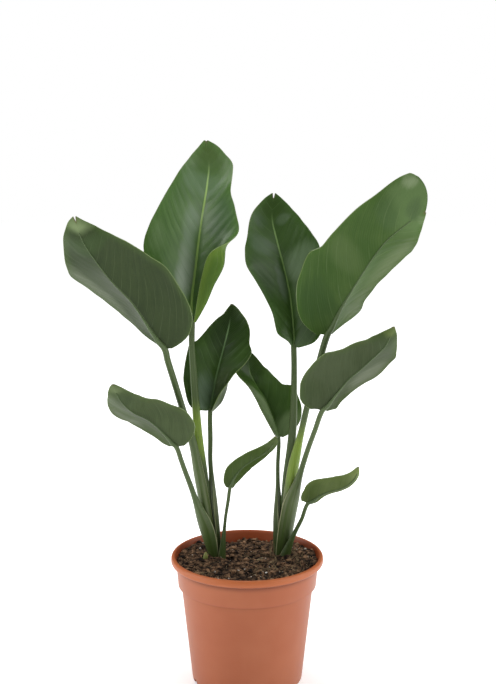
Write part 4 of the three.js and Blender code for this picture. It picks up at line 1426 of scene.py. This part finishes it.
@dataclass
class NurseryPot:
    """Round moulded pot with a rolled rim, a stepped collar and drainage notches."""

    rim_radius: float = 85.0
    height: float = 145.6
    collar_top: Pair = (79.2, 136.4)
    collar_foot: float = 77.1
    wall_top: Pair = (73.6, 111.3)
    base_radius: float = 62.0
    wall: float = 1.7
    sides: int = 144
    notches: int = 6
    notch_radius: float = 5.0
    notch_distance: float = 58.5
    notch_azimuth: float = 200.6
    plastic: PotPlastic = PotPlastic()

    def profile(self) -> list[tuple[float, float]]:
        """Outline of the pot's wall.

        Returns:
            Radius and height of its rings, from the middle of the foot, over the rim, to the
            middle of the floor.
        """
        rim, top, base, wall = self.rim_radius, self.height, self.base_radius, self.wall
        (collar, collar_z), (side, side_z) = self.collar_top, self.wall_top
        return [
            (8, 0), (base - 2.6, 0), (base - 1.2, 0.4), (base - 0.35, 1.4), (base, 3),
            (side - 0.1, side_z - 0.4), (side + 0.3, side_z), (self.collar_foot - 0.3, side_z + 0.25),
            (self.collar_foot, side_z + 0.7), (collar - 0.2, collar_z - 2.4), (collar - 0.1, collar_z - 0.6),
            (collar + 0.6, collar_z + 0.2), (rim - 3.6, collar_z + 0.3), (rim - 2, collar_z + 0.6),
            (rim - 0.8, collar_z + 1.5), (rim - 0.1, collar_z + 3), (rim, top - 4.6), (rim - 0.15, top - 3),
            (rim - 0.6, top - 1.5), (rim - 1.4, top - 0.4), (rim - 2.5, top), (rim - 3.8, top - 0.2),
            (rim - 4.8, top - 1.2), (rim - 5.2, top - 2.8), (collar - wall, collar_z),
            (self.collar_foot - wall, side_z + 1.6), (side - wall, side_z + 0.8), (base - wall, 3.2),
            (base - 3.2, wall), (8, wall),
        ]

    def build(self) -> bpy.types.Object:
        """Build and dress the pot.

        Returns:
            The pot.
        """
        pot = turned("nursery_pot", self.profile(), self.sides)
        cutters = []
        for k in range(self.notches):
            angle = math.radians(self.notch_azimuth + 360 / self.notches * k)
            out = self.notch_distance * MM
            place = (out * math.cos(angle), out * math.sin(angle), 0)
            select()
            bpy.ops.mesh.primitive_cylinder_add(vertices=32, radius=self.notch_radius * MM, depth=0.01,
                                                location=place)
            cutters.append(bpy.context.object)
        cutter = join(cutters, "notch_cutter")
        bpy.ops.object.transform_apply()
        apply(pot, "BOOLEAN", operation="DIFFERENCE", object=cutter, solver="EXACT")
        bpy.data.objects.remove(cutter)
        soften(pot, 35)
        # How far each face turns in towards the axis, where the plastic paints shade on the inner wall.
        inward = []
        for vertex in pot.data.vertices:
            to_axis = Vector((-vertex.co.x, -vertex.co.y, 0)).normalized()
            inward.append(smooth(vertex.normal.dot(to_axis), 0.1, 0.8))
        carry(pot, "inward", inward)
        pot.data.materials.append(self.plastic.material())
        hand_over(pot, "pot_plastic", "pot")
        return pot


@dataclass
class SoilBed:
    """Potting soil with crumbs, perlite and fibres on it.

    stems has the place and reach of each plant's foot, grains the place and radius of the larger
    bits of perlite, and buried the radius and height of the body's rings below the surface.
    """

    at_wall: float = 140.0
    hollow: float = 1.5
    relief: float = 1.1
    dip_at_back: float = 6.3
    dip_width: Pair = (25.0, 60.0)
    radius: float = 77.9
    collar_radius: float = 79.2
    heaped: float = 1.2
    cells: int = 180
    fibre_count: int = 150
    upright_from: int = 140
    fibre_reach: float = 72.0
    seed: int = 7
    roughness: tuple[Pair, ...] = ((15.0, 1.4), (7.0, 2.2), (3.4, 1.2), (1.3, 0.3))
    buried: tuple[Pair, ...] = ((74.2, 114.0), (71.2, 112.0), (59.8, 3.4), (58.4, 2.1))
    stems: tuple[Point, ...] = ((-35.3, 13.6, 9.0), (39.5, 20.0, 10.0))
    grains: tuple[Point, ...] = (
        (2.6, 28, 2.3), (-17, 36, 1.5), (-53, 37, 1.6), (-45, -25, 1.5), (-2, -31, 1.9), (17, -38, 1.7),
        (21, -41, 1.7), (14, -53, 1.3), (60, 42, 1.6), (66, 30, 1.5), (-66, 8, 1.1), (-20, -56, 1.1),
    )

    def lumpy(self, x: float, y: float) -> float:
        """Lumps and crevices.

        Args:
            x: place across.
            y: place in depth.

        Returns:
            How far they rise above the even soil.
        """
        rough = 0.0
        for size, strength in self.roughness:
            rough += strength * noise.noise(Vector((x / size, y / size, size)))
        return rough

    def height(self, x: float, y: float) -> float:
        """Height of the soil's surface.

        Args:
            x: place across.
            y: place in depth.

        Returns:
            The height, with the rough lumps.
        """
        out = math.hypot(x, y) / self.collar_radius
        uneven = math.sin(0.11 * x + 0.6) * math.cos(0.09 * y - 0.4) + 0.7 * math.sin(0.19 * y + 0.13 * x)
        base = self.at_wall - self.hollow * (1 - out * out) + self.relief * uneven
        back = (max(y, 0.0) / self.collar_radius) ** 2
        base -= self.dip_at_back * back * (1 - smooth(abs(x), *self.dip_width))
        for sx, sy, reach in self.stems:
            base += self.heaped * (1 - smooth(math.hypot(x - sx, y - sy), reach, reach + 9))
        return base + self.lumpy(x, y) * (1 - 0.5 * smooth(out, 0.9, 1))

    def bed(self) -> bpy.types.Object:
        """Build the soil's body.

        Returns:
            The closed body, whose grid is bent into a disc and drawn down to the pot's floor.
        """
        bed = grid_mesh("potting_soil", self.cells, self.cells)
        points = []
        for vertex in bed.data.vertices:
            u, v, _ = vertex.co
            x = u * math.sqrt(1 - v * v / 2) * self.radius
            y = v * math.sqrt(1 - u * u / 2) * self.radius
            z = self.height(x, y)
            spread = 1 + 0.0035 * (z - self.at_wall) * smooth(math.hypot(x, y) / self.radius, 0.92, 1)
            points.append(Vector((x * spread, y * spread, z)))
        place_vertices(bed, points)
        carry(bed, "raised", [0.5 + 0.28 * self.lumpy(point.x, point.y) for point in points])
        bpy.ops.object.mode_set(mode="EDIT")
        bpy.ops.mesh.select_all(action="DESELECT")
        bpy.ops.mesh.select_mode(type="EDGE")
        bpy.ops.mesh.select_non_manifold(extend=False)
        radius = self.radius
        for new_radius, height in self.buried:
            bpy.ops.mesh.extrude_region_move(TRANSFORM_OT_translate={"value": (0, 0, 0)})
            ratio = new_radius / radius
            bpy.ops.transform.resize(value=(ratio, ratio, 0), center_override=(0, 0, height * MM))
            radius = new_radius
        bpy.ops.mesh.edge_face_add()
        bpy.ops.mesh.select_all(action="SELECT")
        bpy.ops.mesh.normals_make_consistent(inside=False)
        bpy.ops.object.mode_set(mode="OBJECT")
        soften(bed, 75)
        finish = Grit("potting_soil", (0.008, 0.004, 0.002), (0.150, 0.086, 0.048), 170.0, shaded_crevices=True)
        bed.data.materials.append(finish.material())
        return bed

    def spot(self, dice: random.Random) -> Pair:
        """A place on the soil clear of the stems.

        Args:
            dice: the random numbers.

        Returns:
            The place across and in depth.
        """
        while True:
            radius = self.radius * math.sqrt(dice.uniform(0.0, 0.97))
            angle = dice.uniform(0, 2 * math.pi)
            x, y = radius * math.cos(angle), radius * math.sin(angle)
            if all(math.hypot(x - sx, y - sy) > reach for sx, sy, reach in self.stems):
                return x, y

    def lumps(self, name: str, count: int, sizes: Pair, finish: Grit, seed: int,
              faces: int = 1, placed: Sequence[Point] = ()) -> bpy.types.Object:
        """Scatter rough lumps over the soil.

        Args:
            name: the piece's name.
            count: how many.
            sizes: their least and largest radius.
            finish: what they look like.
            seed: start of the random numbers.
            faces: how finely each is divided.
            placed: place and radius of the first ones, which aren't scattered.

        Returns:
            All the lumps as one object.
        """
        dice = random.Random(seed)
        select()
        bpy.ops.mesh.primitive_ico_sphere_add(subdivisions=faces, radius=1.0)
        first = bpy.context.object
        shape = [vertex.co.copy() for vertex in first.data.vertices]
        copies = [first]
        for _ in range(count - 1):
            twin = first.copy()
            twin.data = first.data.copy()
            bpy.context.collection.objects.link(twin)
            copies.append(twin)
        for k, twin in enumerate(copies):
            x, y = self.spot(dice)
            size = lerp(*sizes, dice.random() ** 2.2)
            if k < len(placed):
                x, y, size = placed[k]
            squash = Vector((dice.uniform(0.7, 1.3), dice.uniform(0.6, 1.1), dice.uniform(0.45, 0.8)))
            turn = dice.uniform(0, 2 * math.pi)
            middle = Vector((x, y, self.height(x, y) + size * dice.uniform(-0.1, 0.45)))
            shift = Vector((dice.uniform(0, 90), 0, 0))
            points = []
            for corner in shape:
                rough = 1 + 0.55 * noise.noise(corner * 1.3 + shift)
                p = corner * rough
                p = Vector((p.x * squash.x, p.y * squash.y, p.z * squash.z)) * size
                c, s = math.cos(turn), math.sin(turn)
                points.append(middle + Vector((p.x * c - p.y * s, p.x * s + p.y * c, p.z)))
            place_vertices(twin, points)
        pile = join(copies, name)
        soften(pile, 40)
        pile.data.materials.append(finish.material())
        return pile

    def fibres(self) -> bpy.types.Object:
        """Scatter thin bent roots and fibres over the soil, and stand the last ones up.

        Returns:
            All of them as one object.
        """
        dice = random.Random(self.seed + 5)
        made = []
        for k in range(self.fibre_count):
            upright = k >= self.upright_from
            x, y = self.spot(dice)
            if k % 3:
                x, y = dice.uniform(8, 70), dice.uniform(-40, 26)
            length, heading = dice.uniform(7, 26), dice.uniform(0, 2 * math.pi)
            radius, bend = dice.uniform(0.16, 0.36), dice.uniform(-1.8, 1.8)
            arch = dice.uniform(0.2, 3.0)
            if upright:
                x, y, heading = dice.uniform(24, 29), dice.uniform(8, 20), dice.uniform(-0.6, 0.6)
                length, bend, arch = 3.0, 0.3, dice.uniform(10, 24)
            rings, steps = [], 9
            for i in range(steps + 1):
                t = i / steps
                heading += bend / steps
                x += length / steps * math.cos(heading)
                y += length / steps * math.sin(heading)
                out = math.hypot(x, y)
                if out > self.fibre_reach:
                    x, y = x * self.fibre_reach / out, y * self.fibre_reach / out
                rise = t if upright else math.sin(math.pi * t) ** 2
                thin = radius * (1 - 0.6 * t)
                way = Vector((math.cos(heading), math.sin(heading), 0))
                side = Vector((-way.y, way.x, 0)) * thin
                up = (way if upright else Vector((0, 0, 1))) * thin
                centre = Vector((x, y, self.height(x, y) + radius + arch * rise))
                rings.append([centre + side, centre + up, centre - side, centre - up])
            made.append(lofted("fibre", rings))
        fibres = join(made, "soil_fibres")
        soften(fibres, 80)
        finish = Grit("root_fibre", (0.13, 0.085, 0.045), (0.36, 0.27, 0.15), 90.0)
        fibres.data.materials.append(finish.material())
        return fibres

    def build(self) -> list[bpy.types.Object]:
        """Build and dress the soil and all that lies on it.

        Returns:
            The pieces.
        """
        crumb = Grit("peat_crumb", (0.006, 0.003, 0.002), (0.270, 0.155, 0.085), 130.0)
        bark = Grit("bark_chip", (0.06, 0.032, 0.018), (0.24, 0.15, 0.09), 150.0)
        perlite = Grit("perlite", (0.42, 0.37, 0.31), (0.78, 0.75, 0.70), 300.0, 0.85)
        bed = self.bed()
        pieces = [
            self.lumps("peat_crumbs", 1000, (0.8, 4.2), crumb, self.seed),
            self.lumps("bark_chips", 160, (0.7, 2.6), bark, self.seed + 1),
            self.lumps("perlite_grains", 80, (0.4, 1.25), perlite, self.seed + 2, 2, self.grains),
            self.fibres(),
        ]
        hand_over(bed, "potting_soil", "soil")
        for piece in pieces:
            hand_over(piece, "potting_soil")
        return [bed, *pieces]


@dataclass
class ShootTip:
    """Pointed new shoot beside the left plant; it narrows and leans above its shoulder."""

    x: float = -47.0
    y: float = -1.0
    radius: float = 3.5
    foot: float = 122.0
    tip: float = 148.5
    shoulder: float = 136.0
    rows: int = 18
    sides: int = 18
    soiled: Color = (0.060, 0.080, 0.014)
    fresh: Color = (0.170, 0.185, 0.035)
    fresh_from: Pair = (0.135, 0.147)

    def build(self) -> bpy.types.Object:
        """Build and dress the shoot.

        Returns:
            The shoot.
        """
        rings = []
        for i in range(self.rows + 1):
            z = lerp(self.foot, self.tip, i / self.rows)
            above = max(z - self.shoulder, 0)
            slim = math.sqrt(max(1 - (above / (self.tip + 0.2 - self.shoulder)) ** 1.7, 0.002))
            lean = 0.9 * above / 12
            ring = []
            for j in range(self.sides):
                angle = 2 * math.pi * j / self.sides
                ridge = 1 + 0.08 * smooth(math.cos(angle + 1.2), 0.7, 1)
                ring.append(Vector((self.x + lean + self.radius * slim * ridge * math.cos(angle),
                                    self.y + self.radius * slim * ridge * 0.8 * math.sin(angle), z)))
            rings.append(ring)
        shoot = lofted("new_shoot", rings)
        soften(shoot, 60)
        bench = Bench("young_shoot")
        height = bench.node("ShaderNodeSeparateXYZ", None, {0: bench.place()}, "Z")
        color = bench.mix(height.step(*self.fresh_from), self.soiled, self.fresh)
        grain = bench.noise(bench.place(), 300.0, 3.0)
        shoot.data.materials.append(bench.finish({
            "Base Color": color, "Roughness": 0.4 + grain * 0.1, "Normal": bench.bump(grain, 0.0004, 0.4),
        }))
        hand_over(shoot, "young_shoot", "shoot_tip")
        return shoot


@dataclass
class Studio:
    """Plain pale floor, soft light and the camera.

    lights has each one's name, place, size in metres and power in watts.
    """

    camera_at: Point = (0.9, -1700.0, 769.48)
    pitch: float = 12.637
    lens: float = 84.63
    aim_height: float = 330.0
    floor_size: float = 7.0
    floor_color: Color = (0.88, 0.88, 0.88)
    floor_glow: tuple[Color, Color] = ((0.45, 0.45, 0.45), (1.0, 1.0, 1.0))
    floor_glows_from: Pair = (0.1, 0.6)
    dim: Color = (0.09, 0.095, 0.10)
    white: Color = (1.0, 1.0, 1.0)
    lights: tuple[tuple[str, Point, float, float], ...] = (
        ("left_softbox", (-1700, -350, 900), 1.8, 30.0),
        ("right_softbox", (1700, -350, 800), 1.8, 27.0),
        ("top_softbox", (0, 500, 2100), 1.8, 32.0),
        ("gloss_softbox", (1000, -1250, 950), 0.8, 3.0),
        ("arch_softbox", (-150, -1400, 1450), 0.5, 2.0),
    )

    def floor(self) -> None:
        """Lay the floor, which glows more away from the pot."""
        select()
        bpy.ops.mesh.primitive_plane_add(size=self.floor_size, location=(0, 0, -0.0004))
        floor = bpy.context.object
        floor.name = "studio_floor"
        bench = Bench("pale_floor")
        away = bench.node("ShaderNodeVectorMath", {"operation": "LENGTH"}, {0: bench.place()}, "Value")
        floor.data.materials.append(bench.finish({
            "Base Color": self.floor_color, "Roughness": 0.85,
            "Emission Color": bench.mix(away.step(*self.floor_glows_from), *self.floor_glow),
            "Emission Strength": 0.85,
        }))

    def light(self) -> None:
        """Set up a white backdrop that lights the plant only dimly, and the soft lights."""
        world = bpy.data.worlds.new("studio")
        bpy.context.scene.world = world
        bench = Bench("studio", world)
        seen = bench.node("ShaderNodeLightPath", output="Is Camera Ray")
        glow = bench.node("ShaderNodeBackground", None, {"Color": bench.mix(seen, self.dim, self.white)})
        bench.node("ShaderNodeOutputWorld", None, {"Surface": glow})
        aim = Vector((0, 0, self.aim_height * MM))
        for name, place, size, power in self.lights:
            at = Vector(place) * MM
            bpy.ops.object.light_add(type="AREA", location=at)
            light = bpy.context.object
            light.name = name
            light.data.size = size
            light.data.energy = power
            light.rotation_euler = (aim - at).to_track_quat("-Z", "Y").to_euler()

    def camera(self) -> None:
        """Put the camera where the photograph was taken from."""
        bpy.ops.object.camera_add(location=Vector(self.camera_at) * MM,
                                  rotation=(math.radians(90 - self.pitch), 0, 0))
        camera = bpy.context.object
        camera.data.lens = self.lens
        camera.data.sensor_width = 36.0
        bpy.context.scene.camera = camera
        bpy.context.scene.view_settings.view_transform = "Standard"

    def build(self) -> None:
        """Build the floor, the lights and the camera."""
        self.floor()
        self.light()
        self.camera()


def main() -> None:
    """Build every sub-assembly in order."""
    logging.basicConfig(level=logging.INFO, format="%(message)s")
    Studio().build()
    NurseryPot().build()
    SoilBed().build()
    for leaves in (LEFT_PLANT, RIGHT_PLANT):
        Plant(leaves).build()
    ShootTip().build()


if __name__ == "__main__":
    main()
